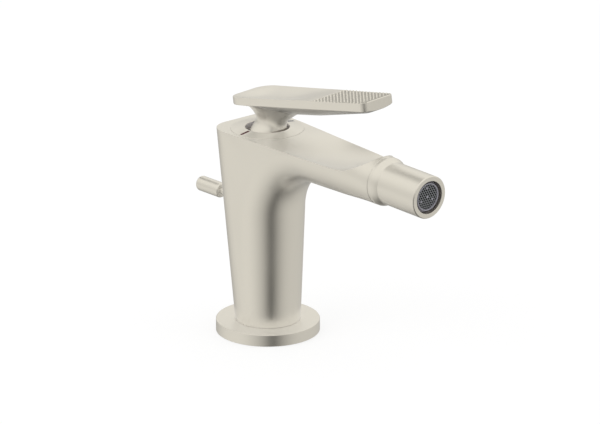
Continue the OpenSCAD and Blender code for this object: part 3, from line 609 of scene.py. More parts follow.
def moulded(name, colour, roughness, spread=0.03):
    """Moulded or fired surface with a faint speckle."""
    if name in bpy.data.materials:
        return bpy.data.materials[name]
    material, tree, shader = base_material(name)
    shader.inputs["Roughness"].default_value = roughness
    surface = tree.nodes.new("ShaderNodeGroup")
    surface.node_tree = moulded_group()
    plug(tree, add_tone(tree, surface.outputs["Mottle"], colour, spread), shader.inputs["Base Color"])
    add_bump(tree, shader, surface.outputs["Height"], SPECKLE_STRENGTH, SPECKLE_HEIGHT)
    return material


# Painted reflection: near-white colour that nickel takes where it shows in another nickel face, which tints
# it already, so nickel mirrored in nickel looks lighter than it is
PAINTED_REFLECTION_NICKEL = (0.96, 0.955, 0.945, 1.0)
# Painted shade under the lever: where it starts and is full along Y in metres, the same by how far a face
# looks down, and the share of the tone that it keeps
UNDERSIDE_SHADE_ALONG = (-0.004, -0.012)
UNDERSIDE_SHADE_DOWN = (-0.1, -0.6)
UNDERSIDE_SHADE_SHARE = 0.6
# Painted shade in the valleys of the grip: share of the nickel's tone kept there, and the roughness there
VALLEY_SHADE_TONE = 0.66
VALLEY_ROUGHNESS = 0.5


def plated(name, painted_shade=None):
    """Satin nickel with a painted reflection: where it shows in another nickel face it turns near-white,
    tinted only once and lighter. It may also take a painted shade.
    """
    finish = bpy.context.scene.mixer_finish

    def dress(tree, tone):
        # A painted shade, where one is given, darkens the tone
        if painted_shade:
            tone = painted_shade(tree, tone)
        # Painted reflection: seen by a glossy ray, the nickel turns near-white
        paths = tree.nodes.new("ShaderNodeLightPath")
        return add_mix(tree, paths.outputs["Is Glossy Ray"], tone, PAINTED_REFLECTION_NICKEL, "RGBA")

    return metal(name, finish.nickel, finish.nickel_roughness, dress=dress)


def painted_underside_shade(tree, tone):
    """Painted shade: darker tone on faces that look down in front of the stem, standing in for the shade
    under the lever.
    """
    place = tree.nodes.new("ShaderNodeTexCoord")
    along = add_parts(tree, place.outputs["Object"])[1]
    facing = add_parts(tree, place.outputs["Normal"])[2]
    ahead = add_range(tree, along, *UNDERSIDE_SHADE_ALONG, 0.0, 1.0, smooth=True)
    down = add_range(tree, facing, *UNDERSIDE_SHADE_DOWN, 0.0, 1.0, smooth=True)
    painted_shade = [c * UNDERSIDE_SHADE_SHARE for c in bpy.context.scene.mixer_finish.nickel] + [1.0]
    return add_mix(tree, add_math(tree, "MULTIPLY", ahead, down), tone, painted_shade, "RGBA")


def nickel():
    """Satin nickel of the casting and the turned trim."""
    return plated("satin_nickel_plating")


def valley_shade_nickel():
    """Nickel between the points of the grip: rougher, and darker as a painted shade in the valleys."""
    tone = bpy.context.scene.mixer_finish.nickel
    return metal("grip_valley_painted_shade", [c * VALLEY_SHADE_TONE for c in tone], VALLEY_ROUGHNESS)


CAD_FINISHES = {
    "satin_nickel": nickel,
    "raw_brass": lambda: metal("turned_brass", (0.72, 0.56, 0.30), 0.34, 0.04, 2600.0, 0.2),
    "steel": lambda: metal("turned_steel", (0.56, 0.56, 0.57), 0.3, 0.03, 3000.0, 0.2),
    "black_rubber": lambda: moulded("seal_rubber", (0.018, 0.018, 0.018), 0.75),
    "white_plastic": lambda: moulded("white_acetal", (0.74, 0.73, 0.68), 0.45),
    "blue_plastic": lambda: moulded("blue_acetal", (0.07, 0.13, 0.30), 0.45),
    "grey_plastic": lambda: moulded("insert_plastic", (0.25, 0.245, 0.275), 0.35),
    "dark_screen": lambda: moulded("screen_plastic", (0.16, 0.165, 0.17), 0.45),
    "alumina": lambda: moulded("lapped_alumina", (0.80, 0.79, 0.76), 0.2),
    "red_enamel": lambda: moulded("fired_red_enamel", (0.075, 0.004, 0.006), 0.6),
    "blue_enamel": lambda: moulded("fired_blue_enamel", (0.01, 0.016, 0.06), 0.6),
}


# ---------------------------------------------------------------- room light

# Brightness of the room by direction, in degrees to the right of the dim gap that faces the mixer
GAP_AZIMUTH = -30.5
ROOM_ROUND = (
    (-180, 0.4), (-155, 0.62), (-121, 0.92), (-81, 0.98), (-66, 0.96), (-51, 0.86), (-38, 0.75),
    (-24, 0.6), (-11, 0.3), (-6, 0.03), (0, 0.0), (5, 0.03), (14, 0.34), (29, 0.58), (44, 0.72),
    (59, 0.78), (76, 0.79), (96, 0.78), (125, 0.74), (150, 0.6), (180, 0.4))
# Share of that brightness left by the height of the direction, from straight down to level
ROOM_BELOW = (
    (-1.0, 0.2), (-0.93, 0.52), (-0.8, 0.86), (-0.6, 0.96), (-0.34, 1.0), (-0.2, 0.98), (-0.09, 0.86))
# Brightness above the mixer, from level to straight up
ROOM_ABOVE = (
    (0.0, 0.8), (0.1, 0.9), (0.2, 0.88), (0.27, 0.92), (0.33, 1.0), (0.45, 1.04), (0.6, 1.07), (1.0, 1.05))
# Heights of the direction between which the sides of the room give way to its ceiling
ROOM_CHANGE = (-0.1, 0.26)
# Dim spot high up behind the mixer: where it is, how far it reaches and what it leaves
DIM_SPOT = (0.1, 0.71, 0.697)
DIM_REACH = (0.965, 0.995)
DIM_LEVEL = 0.25


def studio_group():
    """Brightness of the soft room by direction: bright sides, a dim gap in front and a dim floor."""
    name = "studio_glow"
    if name in bpy.data.node_groups:
        return bpy.data.node_groups[name]
    group, start, end = new_group(name, [("Direction", VECTOR, None)], [("Glow", FLOAT)])
    unit = group.nodes.new("ShaderNodeVectorMath")
    unit.operation = "NORMALIZE"
    plug(group, start.outputs["Direction"], unit.inputs[0])
    x, y, z = add_parts(group, unit.outputs["Vector"])
    gap = math.radians(GAP_AZIMUTH)

    def along(share_x, share_y):
        return add_math(group, "ADD", add_math(group, "MULTIPLY", x, share_x),
                        add_math(group, "MULTIPLY", y, share_y))

    turn = add_math(group, "ARCTAN2", along(math.cos(gap), math.sin(gap)),
                    along(math.sin(gap), -math.cos(gap)))
    round_level = add_levels(group, add_math(group, "DEGREES", turn), ROOM_ROUND)
    side = add_math(group, "MULTIPLY", round_level, add_levels(group, z, ROOM_BELOW))
    lift = add_range(group, z, *ROOM_CHANGE, 0.0, 1.0, smooth=True)
    glow = add_mix(group, lift, side, add_levels(group, z, ROOM_ABOVE))
    toward = group.nodes.new("ShaderNodeVectorMath")
    toward.operation = "DOT_PRODUCT"
    plug(group, unit.outputs["Vector"], toward.inputs[0])
    toward.inputs[1].default_value = DIM_SPOT
    left = add_range(group, toward.outputs["Value"], *DIM_REACH, 1.0, DIM_LEVEL, smooth=True)
    plug(group, add_math(group, "MULTIPLY", glow, left), end.inputs["Glow"])
    return group


# ---------------------------------------------------------------- body form

class BodyForm:
    """Column and spout in millimetres: round foot, fan of sections round the hollow, scooped spout."""
    # Steps round a section: along the back, round a corner, up a side, round the lower side, across the top
    BACK_STEPS = 12
    CORNER_STEPS = 10
    SIDE_STEPS = 8
    ROUND_STEPS = 26
    ACROSS_STEPS = 16
    # Steps round the upper edge, and passes that find a fan's ray on the wall
    EDGE_STEPS = 4
    WALL_PASSES = 12
    # Sections of the column, the fan below and above the crease, the plain spout and its rounding end
    COLUMN_ROWS = 12
    LOW_FAN_ROWS = 9
    HIGH_FAN_ROWS = 16
    PLAIN_ROWS = 12
    MORPH_ROWS = 34
    # Spigot below the foot, that the base disc sits round
    SPIGOT_R = 15.8
    SPIGOT_Z = 1.0
    FOOT_CHAMFER = 0.25
    # Upper edge and scoop
    SPOUT_TAPER = 0.062
    EDGE_FALL = 0.024
    EDGE_SIDE = 0.6
    SCOOP_START = 17.0
    SCOOP_LOW = 50.0
    RISE_POWER = 2.84
    RISE_STOP = 1.5
    # Stretch over which the spout turns round
    MORPH_LENGTH = 23.0
    CROWN_ANGLE = 82.0
    END_ROUND = 0.15

    def __init__(self, sizes):
        self.foot_z = sizes.base_height / MM
        self.foot_r = sizes.foot_diameter / MM / 2
        self.top_w = sizes.top_half_width / MM
        self.top_back = sizes.top_back / MM
        self.top_z = sizes.top_height / MM
        self.corner = sizes.corner_radius / MM
        self.hollow = sizes.hollow_radius / MM
        self.length = sizes.spout_length / MM
        self.tube_r = sizes.spout_diameter / MM / 2
        self.axis_top = self.top_z - sizes.axis_drop / MM
        self.slope = math.tan(sizes.pitch)
        self.edge = sizes.edge_round / MM
        self.scoop_z = self.top_z - sizes.scoop_depth / MM
        self.under_z = self.axis_z(self.length) - self.tube_r
        self.morph_start = self.length - self.MORPH_LENGTH
        self.fan_z = self.under_z - self.hollow
        self.fan_w = self.half_w(0, self.fan_z)
        self.fan_y = -self.fan_w - self.hollow
        self.lean = (self.top_back - self.foot_r) / (self.top_z - self.foot_z)
        self.rise_end = self.axis_z(self.length) + self.tube_r - self.scoop_z

    def axis_z(self, d):
        """Height of the spout axis at a distance from the lever axis."""
        return self.axis_top - d * self.slope

    def share(self, z):
        """Share of the column's height."""
        return (z - self.foot_z) / (self.top_z - self.foot_z)

    def half_w(self, y, z):
        """Half width between the sides."""
        return mix(self.foot_r, self.top_w, self.share(z)) + self.SPOUT_TAPER * min(y, 0)

    def back_y(self, z):
        """Place of the back along Y."""
        return mix(self.foot_r, self.top_back, self.share(z))

    def corner_r(self, z):
        """Radius of the back corners."""
        return mix(self.foot_r, self.corner, self.share(z))

    def edge_z(self, y):
        """Height of the crisp upper edge."""
        return self.top_z + self.EDGE_FALL * min(y, 0)

    def floor_z(self, y):
        """Height of the upper face in the middle: level, down into the scoop, up to the round end."""
        if -y < self.SCOOP_LOW:
            return mix(self.top_z, self.scoop_z,
                       ease((-y - self.SCOOP_START) / (self.SCOOP_LOW - self.SCOOP_START)))
        reach = (-y - self.SCOOP_LOW) / (self.length - self.RISE_STOP - self.SCOOP_LOW)
        return self.scoop_z + self.rise_end * reach ** self.RISE_POWER

    def rim_z(self, y):
        """Height of the upper face at the sides."""
        edge = self.edge_z(y)
        return edge if -y < self.SCOOP_LOW else max(edge, self.floor_z(y))

    def top_at(self, f, y):
        """Height of the upper face at a share f of the half width."""
        return mix(self.floor_z(y), self.rim_z(y), f * f)

    def wall_point(self, k, z):
        """Point k of the outline at a height: round the back corner, then along the back."""
        w, r = self.half_w(0, z), self.corner_r(z)
        if k <= self.CORNER_STEPS:
            t = math.radians(90 * k / self.CORNER_STEPS)
            return Vector((w - r + r * math.cos(t), self.back_y(z) - r * (1 - math.sin(t)), z))
        share = 1 - (k - self.CORNER_STEPS) / self.BACK_STEPS
        return Vector(((w - r) * share, self.back_y(z), z))

    def round_part(self, oy, oz, a, wx, ws):
        """Half of the round lower side of a section, from its middle to its widest line."""
        made = []
        for k in range(self.ROUND_STEPS + 1):
            t = math.radians(90 * k / self.ROUND_STEPS)
            s = ws * (1 - math.cos(t))
            made.append(Vector((wx * math.sin(t), oy + s * math.cos(a), oz + s * math.sin(a))))
        return made

    def column_ring(self, z):
        """Right half of a level section, from the middle of the front to the middle of the back."""
        w = self.half_w(0, z)
        made = self.round_part(-w, z, 0.0, w, w)
        corner = self.wall_point(0, z)
        for k in range(1, self.SIDE_STEPS + 1):
            made.append(made[self.ROUND_STEPS].lerp(corner, k / self.SIDE_STEPS))
        made.extend(self.wall_point(k, z) for k in range(1, self.CORNER_STEPS + self.BACK_STEPS + 1))
        return made

    def fan_inner(self, a):
        """Lower side of the fan's section at angle a, which turns round the hollow."""
        t = a / (math.pi / 2)
        wx = mix(self.fan_w, self.half_w(self.fan_y, self.top_z), t)
        ws = mix(self.fan_w, self.edge_z(self.fan_y) - self.EDGE_SIDE - self.under_z, t)
        oy = self.fan_y + self.hollow * math.cos(a)
        oz = self.fan_z + self.hollow * math.sin(a)
        return self.round_part(oy, oz, a, wx, ws)

    def on_wall(self, a, k):
        """Where the ray at angle a from the fan's axis meets line k of the outer wall."""
        z = self.fan_z
        for _ in range(self.WALL_PASSES):
            p = self.wall_point(k, z)
            z = self.fan_z + (p.y - self.fan_y) * math.tan(a)
        return self.wall_point(k, z)

    def crease_angle(self, k):
        """Angle of the fan's section that meets the upper edge at point k."""
        p = self.wall_point(k, self.top_z)
        return math.atan2(self.top_z - self.fan_z, p.y - self.fan_y)

    def fan_ring(self, a, corner_points):
        """Section at angle a below the crease, with the given number of corner points on the wall."""
        made = self.fan_inner(a)
        corner = self.on_wall(a, 0)
        for k in range(1, self.SIDE_STEPS + 1):
            made.append(made[self.ROUND_STEPS].lerp(corner, k / self.SIDE_STEPS))
        made.extend(self.on_wall(a, k) for k in range(1, corner_points + 1))
        return made

    def top_row(self, crease, below, y_at, z_at):
        """Rounded edge and upper face at one station: from below the crease to the middle plane."""
        inner_x = crease.x - self.edge
        inner = Vector((inner_x, y_at(z_at(inner_x)), z_at(inner_x)))
        made = bezier(below, crease, inner, self.EDGE_STEPS) + [inner]
        for k in range(1, self.ACROSS_STEPS + 1):
            x = inner_x * (1 - k / self.ACROSS_STEPS)
            made.append(Vector((x, y_at(z_at(x)), z_at(x))))
        return made

    def side_to(self, widest, crease, path):
        """Side points from the widest line towards the crease, stopping short by the edge rounding."""
        length = (crease - widest).length
        last = 1 - min(0.5, self.edge / length)
        return [path(last * k / self.SIDE_STEPS) for k in range(1, self.SIDE_STEPS + 1)]

    def high_fan_station(self, y):
        """Wall and top of the section whose crease lies at y, between the back corner and the spout."""
        crease = Vector((self.half_w(y, self.rim_z(y)), y, self.rim_z(y)))
        a = math.atan2(crease.z - self.fan_z, y - self.fan_y)
        wall = self.fan_inner(a)
        widest = wall[-1]
        wall += self.side_to(widest, crease, lambda t: widest.lerp(crease, t))
        return wall, self.top_row(crease, wall[-1], lambda z: y, lambda x: self.top_at(x / crease.x, y))

    def spout_station(self, d):
        """Wall and top of an upright section, which turns into a circle at the end of the spout."""
        e = ease((d - self.morph_start) / (self.length - self.morph_start))
        cz = mix(self.edge_z(-d) - self.EDGE_SIDE, self.axis_z(d), e)
        rx = mix(self.half_w(-d, self.top_z), self.tube_r, e)
        rz = cz - mix(self.under_z, self.axis_z(d) - self.tube_r, e)
        up = min(math.asin(min(1.0, (self.rim_z(-d) - cz) / rz)), math.radians(self.CROWN_ANGLE))
        xe = rx * math.cos(up)

        def y_at(z):
            return -d - e * (z - self.axis_z(d)) * self.slope

        def on_side(t):
            z = cz + rz * math.sin(t)
            return Vector((rx * math.cos(t), y_at(z), z))

        def z_at(x):
            return min(self.top_at(x / xe, -d), cz + rz * math.sqrt(max(0.0, 1 - (x / rx) ** 2)))

        wall = [on_side(math.radians(-90 + 90 * k / self.ROUND_STEPS))
                for k in range(self.ROUND_STEPS + 1)]
        crease = on_side(up)
        wall += self.side_to(wall[-1], crease, lambda t: on_side(up * t))
        return wall, self.top_row(crease, wall[-1], y_at, z_at)

    def edge_round_points(self, k):
        """Rounded edge at point k of the back: from the wall below the crease to the upper face."""
        crease = self.wall_point(k, self.top_z)
        below = self.wall_point(k, self.top_z - self.edge)
        t = math.radians(min(90.0, 90.0 * k / self.CORNER_STEPS))
        inner = crease - Vector((math.cos(t), math.sin(t), 0)) * self.edge
        return below, bezier(below, crease, inner, self.EDGE_STEPS) + [inner]

    def low_rows(self):
        """Spigot, foot, column and the fan up to the crease, where the back ends in its edge rounding."""
        corner, back = self.CORNER_STEPS, self.BACK_STEPS
        level = self.column_ring(self.foot_z)

        def shrunk(radius, z):
            return [Vector((p.x * radius / self.foot_r, p.y * radius / self.foot_r, z)) for p in level]

        rows = [shrunk(self.SPIGOT_R, self.SPIGOT_Z), shrunk(self.SPIGOT_R, self.foot_z),
                shrunk(self.foot_r - self.FOOT_CHAMFER, self.foot_z),
                self.column_ring(self.foot_z + self.FOOT_CHAMFER)]
        rows += [self.column_ring(mix(self.foot_z, self.fan_z, k / self.COLUMN_ROWS))
                 for k in range(1, self.COLUMN_ROWS)]
        first = self.crease_angle(corner)
        rows += [self.fan_ring(first * k / self.LOW_FAN_ROWS, corner + back)
                 for k in range(self.LOW_FAN_ROWS)]
        below_edge = [self.edge_round_points(k)[0] for k in range(corner, corner + back + 1)]
        rows.append(self.fan_ring(first, corner - 1) + below_edge)
        return rows

    def skin(self):
        """Right half of the outside of the casting, ready to be mirrored."""
        skin = Skin()
        corner, back = self.CORNER_STEPS, self.BACK_STEPS
        side_end = self.ROUND_STEPS + self.SIDE_STEPS
        edge_rows = {k: self.edge_round_points(k) for k in range(corner + back + 1)}
        made = skin.rows(self.low_rows())
        skin.fan(made[0], (0, 0, self.SPIGOT_Z))
        last = made[-1]
        # crease zone: one corner point leaves the wall at each station
        starts = {k: last[side_end + k] for k in range(corner, corner + back + 1)}
        for k in range(corner - 1, -1, -1):
            if k == 0:
                wall, top = self.high_fan_station(self.wall_point(0, self.top_z).y)
                points = wall
            else:
                points = self.fan_ring(self.crease_angle(k), k - 1) + [edge_rows[k][0]]
            new = skin.row(points)
            skin.strip(last[:side_end + k + 1], new)
            skin.faces.append((last[side_end + k], last[side_end + k + 1], new[side_end + k]))
            starts[k] = new[side_end + k]
            last = new
        # rounded edge round the back, with the flat face inside it
        arcs = []
        for k in range(corner + back, 0, -1):
            arcs.append([starts[k]] + skin.row(edge_rows[k][1]))
        top_row = skin.row(top)
        arcs.append([starts[0]] + top_row[:self.EDGE_STEPS])
        for a, b in zip(arcs, arcs[1:]):
            skin.strip(a, b)
        skin.faces.append(tuple([a[-1] for a in arcs] + top_row[self.EDGE_STEPS:]))
        # spout
        stations = [self.high_fan_station(y) for y in self.high_fan_places()]
        stations += [self.spout_station(d) for d in self.spout_places()]
        for wall, top in stations:
            new_wall, new_top = skin.row(wall), skin.row(top)
            skin.strip(last, new_wall)
            skin.strip([last[-1]] + top_row, [new_wall[-1]] + new_top)
            last, top_row = new_wall, new_top
        # flat round end
        end = last + top_row
        centre = Vector((0, -self.length, self.axis_z(self.length)))
        axis = Vector((0, -1, -self.slope)).normalized()
        ring = []
        for index in end:
            arm = Vector(skin.points[index]) - centre
            arm -= axis * arm.dot(axis)
            ring.append(centre + arm.normalized() * (self.tube_r - self.END_ROUND))
        ring = skin.row(ring)
        skin.strip(end, ring)
        skin.fan(ring, centre)
        return skin

    def high_fan_places(self):
        """Places along Y of the fan's sections above the crease."""
        start = self.wall_point(0, self.top_z).y
        return [mix(start, self.fan_y, k / self.HIGH_FAN_ROWS) for k in range(1, self.HIGH_FAN_ROWS + 1)]

    def spout_places(self):
        """Distances from the lever axis of the spout's upright sections."""
        plain = [mix(-self.fan_y, self.morph_start, k / self.PLAIN_ROWS)
                 for k in range(1, self.PLAIN_ROWS + 1)]
        end = self.length - self.END_ROUND
        return plain + [mix(self.morph_start, end, k / self.MORPH_ROWS)
                        for k in range(1, self.MORPH_ROWS + 1)]


# Swivel ball: distance of its centre behind the spout's end face, and radii of the ball and its neck
BALL_BACK = 1.9
BALL_R = 8.0
NECK_R = 4.2


def spout_place(form):
    """Matrix that puts +Z on the spout axis towards the outlet, zero at the ball's centre, in metres."""
    d = form.length - BALL_BACK * math.cos(math.atan(form.slope))
    spot = Vector((0, -d, form.axis_z(d))) * MM
    return Matrix.Translation(spot) @ Matrix.Rotation(math.pi / 2 + math.atan(form.slope), 4, "X")


class BodyBores:
    """Seats, bores and the slot in the casting, in millimetres; depths are below the top edge."""
    RING_SEAT_R = 18.85
    RING_SEAT = 0.9
    NUT_R = 14.9
    NUT_SEAT = 8.4
    POCKET_R = 12.7
    POCKET_DEPTH = 24.5
    POCKET_STEPS = 128
    OPEN_ABOVE = 9.0
    OPEN_BELOW = -1.0
    PORT_R = 4.6
    PORT_X = 7.0
    PORT_Y = 1.2
    PORT_TOP = 13.0
    STUD_R = 3.4
    STUD_Y = -9.5
    STUD_TOP = 21.0
    # Pull rod: its place, the bush it runs in, and the wider way of its head
    ROD_Y = 12.8
    ROD_R = 2.2
    BUSH_TOP = 54.8
    HEAD_WAY_R = 3.1
    HEAD_WAY_TOP = 83.7
    ROD_STEPS = 48
    # Slot in the back that the knob's shank rises in
    SLOT_HALF = 2.1
    SLOT_LOW = 66.8
    SLOT_HIGH = 78.8
    SLOT_REACH = 30.0
    SLOT_STEPS = 24
    # Ball pocket and thread in the spout's end, as (radius, place along its axis)
    BALL_POCKET = ((0, -8.6), (2.6, -8.2), (5.4, -6.7), (7.5, -4.2), (8.2, -2.7), (8.9, -2.7), (8.9, -1.3))
    THREAD_INSET = 2.15
    THREAD_START = -1.3
    THREAD_END = 5.0
    THREAD_STEPS = 64


def body_cutters(form):
    """Tools that cut the seats, bores and the slot into the casting."""
    b = BodyBores
    seat, floor = form.top_z - b.RING_SEAT, form.top_z - b.POCKET_DEPTH
    nut, above = form.top_z - b.NUT_SEAT, form.top_z + b.OPEN_ABOVE
    pocket = [(0, floor), (b.POCKET_R, floor), (b.POCKET_R, nut), (b.NUT_R, nut), (b.NUT_R, seat),
              (b.RING_SEAT_R, seat), (b.RING_SEAT_R, above), (0, above)]
    cutters = [turned(pocket, b.POCKET_STEPS).mesh("pocket_tool")]
    for x in (-b.PORT_X, b.PORT_X):
        cutters.append(rod(b.PORT_R, b.OPEN_BELOW, b.PORT_TOP, x, b.PORT_Y).mesh("port_tool"))
    cutters.append(rod(b.STUD_R, b.OPEN_BELOW, b.STUD_TOP, 0, b.STUD_Y).mesh("stud_tool"))
    guide = [(0, b.OPEN_BELOW), (b.ROD_R, b.OPEN_BELOW), (b.ROD_R, b.BUSH_TOP), (b.HEAD_WAY_R, b.BUSH_TOP),
             (b.HEAD_WAY_R, b.HEAD_WAY_TOP), (0, b.HEAD_WAY_TOP)]
    cutters.append(turned(guide, b.ROD_STEPS).mesh("guide_tool", Matrix.Translation((0, b.ROD_Y * MM, 0))))
    slot = []
    for middle, start in ((b.SLOT_LOW, 180), (b.SLOT_HIGH, 0)):
        for k in range(b.SLOT_STEPS + 1):
            a = math.radians(start + 180 * k / b.SLOT_STEPS)
            slot.append((b.SLOT_HALF * math.cos(a), middle + b.SLOT_HALF * math.sin(a)))
    place = Matrix.Rotation(math.pi / 2, 4, "X")
    cutters.append(prism(slot, -b.SLOT_REACH, -b.ROD_Y).mesh("slot_tool", place))
    thread = form.tube_r - b.THREAD_INSET
    socket = list(b.BALL_POCKET) + [(thread, b.THREAD_START), (thread, b.THREAD_END), (0, b.THREAD_END)]
    cutters.append(turned(socket, b.THREAD_STEPS).mesh("socket_tool", spout_place(form)))
    return cutters


# ---------------------------------------------------------------- lever form

class LeverForm:
    """Lever blade in its own tilted frame: u forward along the face, w up from it, in millimetres."""
    # Outline: narrowing each side per millimetre, corner radii, heights of the side face
    TAPER = 0.037
    BACK_R = 8.4
    FRONT_R = 3.7
    EDGE_BACK = 3.9
    EDGE_FRONT = 4.7
    # Hollow in the face and crown of the underside, as (place, depth) between the two ends
    HOLLOW_RUN = 14.0
    CROWN = ((-6, 2), (10, 5.2), (24, 6), (38, 5.7), (55, 4.1), (70, 2.6))
    CROWN_ENDS = (0.4, 0.9)
    CROWN_POWER = 2.2
    # Share of the face's own dip that the rounding of its rim follows
    RIM_DIP = 0.3
    # Stem: tilting axis, bell, waist and flare, as heights above the axis and radii
    PIVOT_Z = 100.3
    BELL_RISE = 8.0
    BELL_R = 10.3
    BELL_BACK_R = 8.6
    BELL_EDGE = 0.6
    BELL_POWER = 0.7
    WAIST_RISE = 14.2
    WAIST_W = 5.6
    WAIST_LEN = 8.3
    STEM_FORE = 3.2
    FLARE_MARGIN = 0.8
    FLARE_FORE = 9.0
    FLARE_AFT = 1.0
    FLARE_POWER = 0.5
    FLARE_SINK = 0.4
    CAP_SHARE = 0.96
    # Socket of the square spindle and bore of the grub screw, as heights above the tilting axis
    SOCKET_HALF = 2.42
    SOCKET_RISE = (4.0, 17.0)
    SCREW_R = 1.5
    SCREW_RISE = 14.5
    SCREW_PAST = 3.0
    # Knurl: how far it starts before the grip and ends before the edge, squash of its rows along the lever,
    # how steep and how far sunk its points are, and where they sink fully towards the front edge
    GRIP_LEAD = 0.6
    GRIP_STOP = 0.3
    GRIP_SQUASH = 0.9
    POINT_STEEP = 1.15
    POINT_SUNK = 0.62
    SINK_START = 2.6
    SINK_RUN = 1.6
    # A spot of the knurl counts as valley, and takes the painted shade, below this share of its depth and
    # above this height
    VALLEY_SHARE = -0.12
    VALLEY_FLOOR = -2.0
    # Steps: across, round the stem, up its bell's edge, bell and flare, round the corners and an edge, along
    # the plain face and the knurl, and the gap between those two
    ACROSS_STEPS = 84
    STEM_STEPS = 96
    BELL_EDGE_STEPS = 3
    BELL_STEPS = 20
    FLARE_STEPS = 24
    BACK_CORNER_STEPS = 10
    FRONT_CORNER_STEPS = 14
    EDGE_STEPS = 4
    FACE_STEPS = 32
    KNURL_STEP = 0.3
    KNURL_GAP = 0.05
    # Rows at the foot of the stem that its smoothing leaves alone, and passes of that smoothing
    PLAIN_ROWS = 6
    SMOOTH_PASSES = 44

    def __init__(self, sizes):
        self.z0 = sizes.face_height / MM
        self.tilt = sizes.tilt
        self.turn = Matrix.Rotation(sizes.turn, 4, "Z")
        self.front = sizes.front / MM
        self.back = sizes.back / MM
        self.half_w = sizes.half_width / MM
        self.hollow_depth = sizes.hollow_depth / MM
        self.grip_start = sizes.grip_start / MM - self.GRIP_LEAD
        self.grip_pitch = sizes.grip_pitch / MM
        self.grip_depth = sizes.grip_depth / MM
        self.edge = sizes.edge_round / MM
        at_back, at_front = self.CROWN_ENDS
        self.crown = [(-self.back, at_back), *self.CROWN, (self.front, at_front)]
        self.grip_end = self.front - self.edge - self.GRIP_STOP

    def place(self, x, u, w):
        """Point of the upright frame for x across, u along the face and w up from it."""
        return Vector((x, w * math.sin(self.tilt) - u * math.cos(self.tilt),
                       self.z0 + u * math.sin(self.tilt) + w * math.cos(self.tilt)))

    def width_at(self, u):
        """Half width of the blade without its corners."""
        return self.half_w - self.TAPER * u

    def half(self, u, inset=0.0):
        """Half width of the outline, set in by a distance all round."""
        rb, rf = self.BACK_R - inset, self.FRONT_R - inset
        b = min(rb, max(0.0, u + self.back - inset))
        f = min(rf, max(0.0, self.front - inset - u))
        cut = rb - math.sqrt(max(0.0, rb ** 2 - (rb - b) ** 2))
        cut += rf - math.sqrt(max(0.0, rf ** 2 - (rf - f) ** 2))
        return self.width_at(u) - inset - cut

    def edge_h(self, u):
        """Height of the side face."""
        return mix(self.EDGE_BACK, self.EDGE_FRONT, (u + self.back) / (self.front + self.back))

    def hollow(self, u):
        """Depth of the hollow in the middle of the face."""
        return (self.hollow_depth * ease((u + self.back) / self.HOLLOW_RUN)
                * (1 - ease((u - self.HOLLOW_RUN) / (self.grip_start - self.HOLLOW_RUN))))

    def knurl(self, x, u):
        """Height of the knurl: points in staggered rows, cut off at the start and end of the grip."""
        if u < self.grip_start or u > self.grip_end:
            return 0.0
        p = self.grip_pitch
        along = (u - self.grip_start) / (p * self.GRIP_SQUASH)
        across = x / p
        best = 0.0
        for shift in (0.0, 0.5):
            du = abs(along - 0.5 + shift - round(along - 0.5 + shift))
            dx = abs(across + shift - round(across + shift))
            best = max(best, 1 - 2 * (du + dx))
        sink = ease((u - self.grip_end + self.SINK_START) / self.SINK_RUN)
        sunk = mix(self.POINT_SUNK, 1.0, sink)
        return self.grip_depth * (mix(best, ease(best * self.POINT_STEEP), 0.5) - sunk)

    def in_valley(self, spot):
        """Whether a point of the finished lever lies low between the points of the knurl."""
        x, y, z = self.turn.inverted() @ spot / MM
        z -= self.z0
        u = z * math.sin(self.tilt) - y * math.cos(self.tilt)
        w = y * math.sin(self.tilt) + z * math.cos(self.tilt)
        return (self.grip_start < u < self.grip_end and abs(x) < self.half(u, self.edge)
                and self.VALLEY_FLOOR < w < self.grip_depth * self.VALLEY_SHARE)

    def top_w(self, x, u):
        """Height of the face over its plane, with hollow and knurl."""
        f = min(1.0, abs(x) / max(0.1, self.half(u)))
        return -self.hollow(u) * (1 - f * f) + self.knurl(x, u)

    def under_w(self, x, u):
        """Height of the underside over the plane of the face, always below it."""
        f = min(1.0, abs(x) / max(0.1, self.half(u)))
        return -self.edge_h(u) - lookup(self.crown, u) * (1 - f ** self.CROWN_POWER)

    def stations(self):
        """Places along the lever, close together round the corners and in the knurl."""
        r = self.edge
        back_r, front_r = self.BACK_R - r, self.FRONT_R - r
        quarter = math.pi / 2
        made = [-self.back + r + back_r * (1 - math.cos(quarter * k / self.BACK_CORNER_STEPS))
                for k in range(self.BACK_CORNER_STEPS + 1)]
        plain = made[-1]
        made += [mix(plain, self.grip_start - self.KNURL_GAP, k / self.FACE_STEPS)
                 for k in range(1, self.FACE_STEPS + 1)]
        end = self.front - self.FRONT_R
        count = round((end - self.grip_start) / self.KNURL_STEP)
        made += [mix(self.grip_start, end, k / count) for k in range(count + 1)]
        made += [self.front - r - front_r * (1 - math.sin(quarter * k / self.FRONT_CORNER_STEPS))
                 for k in range(1, self.FRONT_CORNER_STEPS + 1)]
        return made

    def outline_normal(self, x, u):
        """Outward direction, in (x, u), at a point of the inset outline."""
        side = 1 if x > 0 else -1
        w = self.width_at(u)
        if u < -self.back + self.BACK_R:
            centre = (side * (w - self.BACK_R), -self.back + self.BACK_R)
        elif u > self.front - self.FRONT_R:
            centre = (side * (w - self.FRONT_R), self.front - self.FRONT_R)
        else:
            return Vector((side, self.TAPER)).normalized()
        return Vector((x - centre[0], u - centre[1])).normalized()

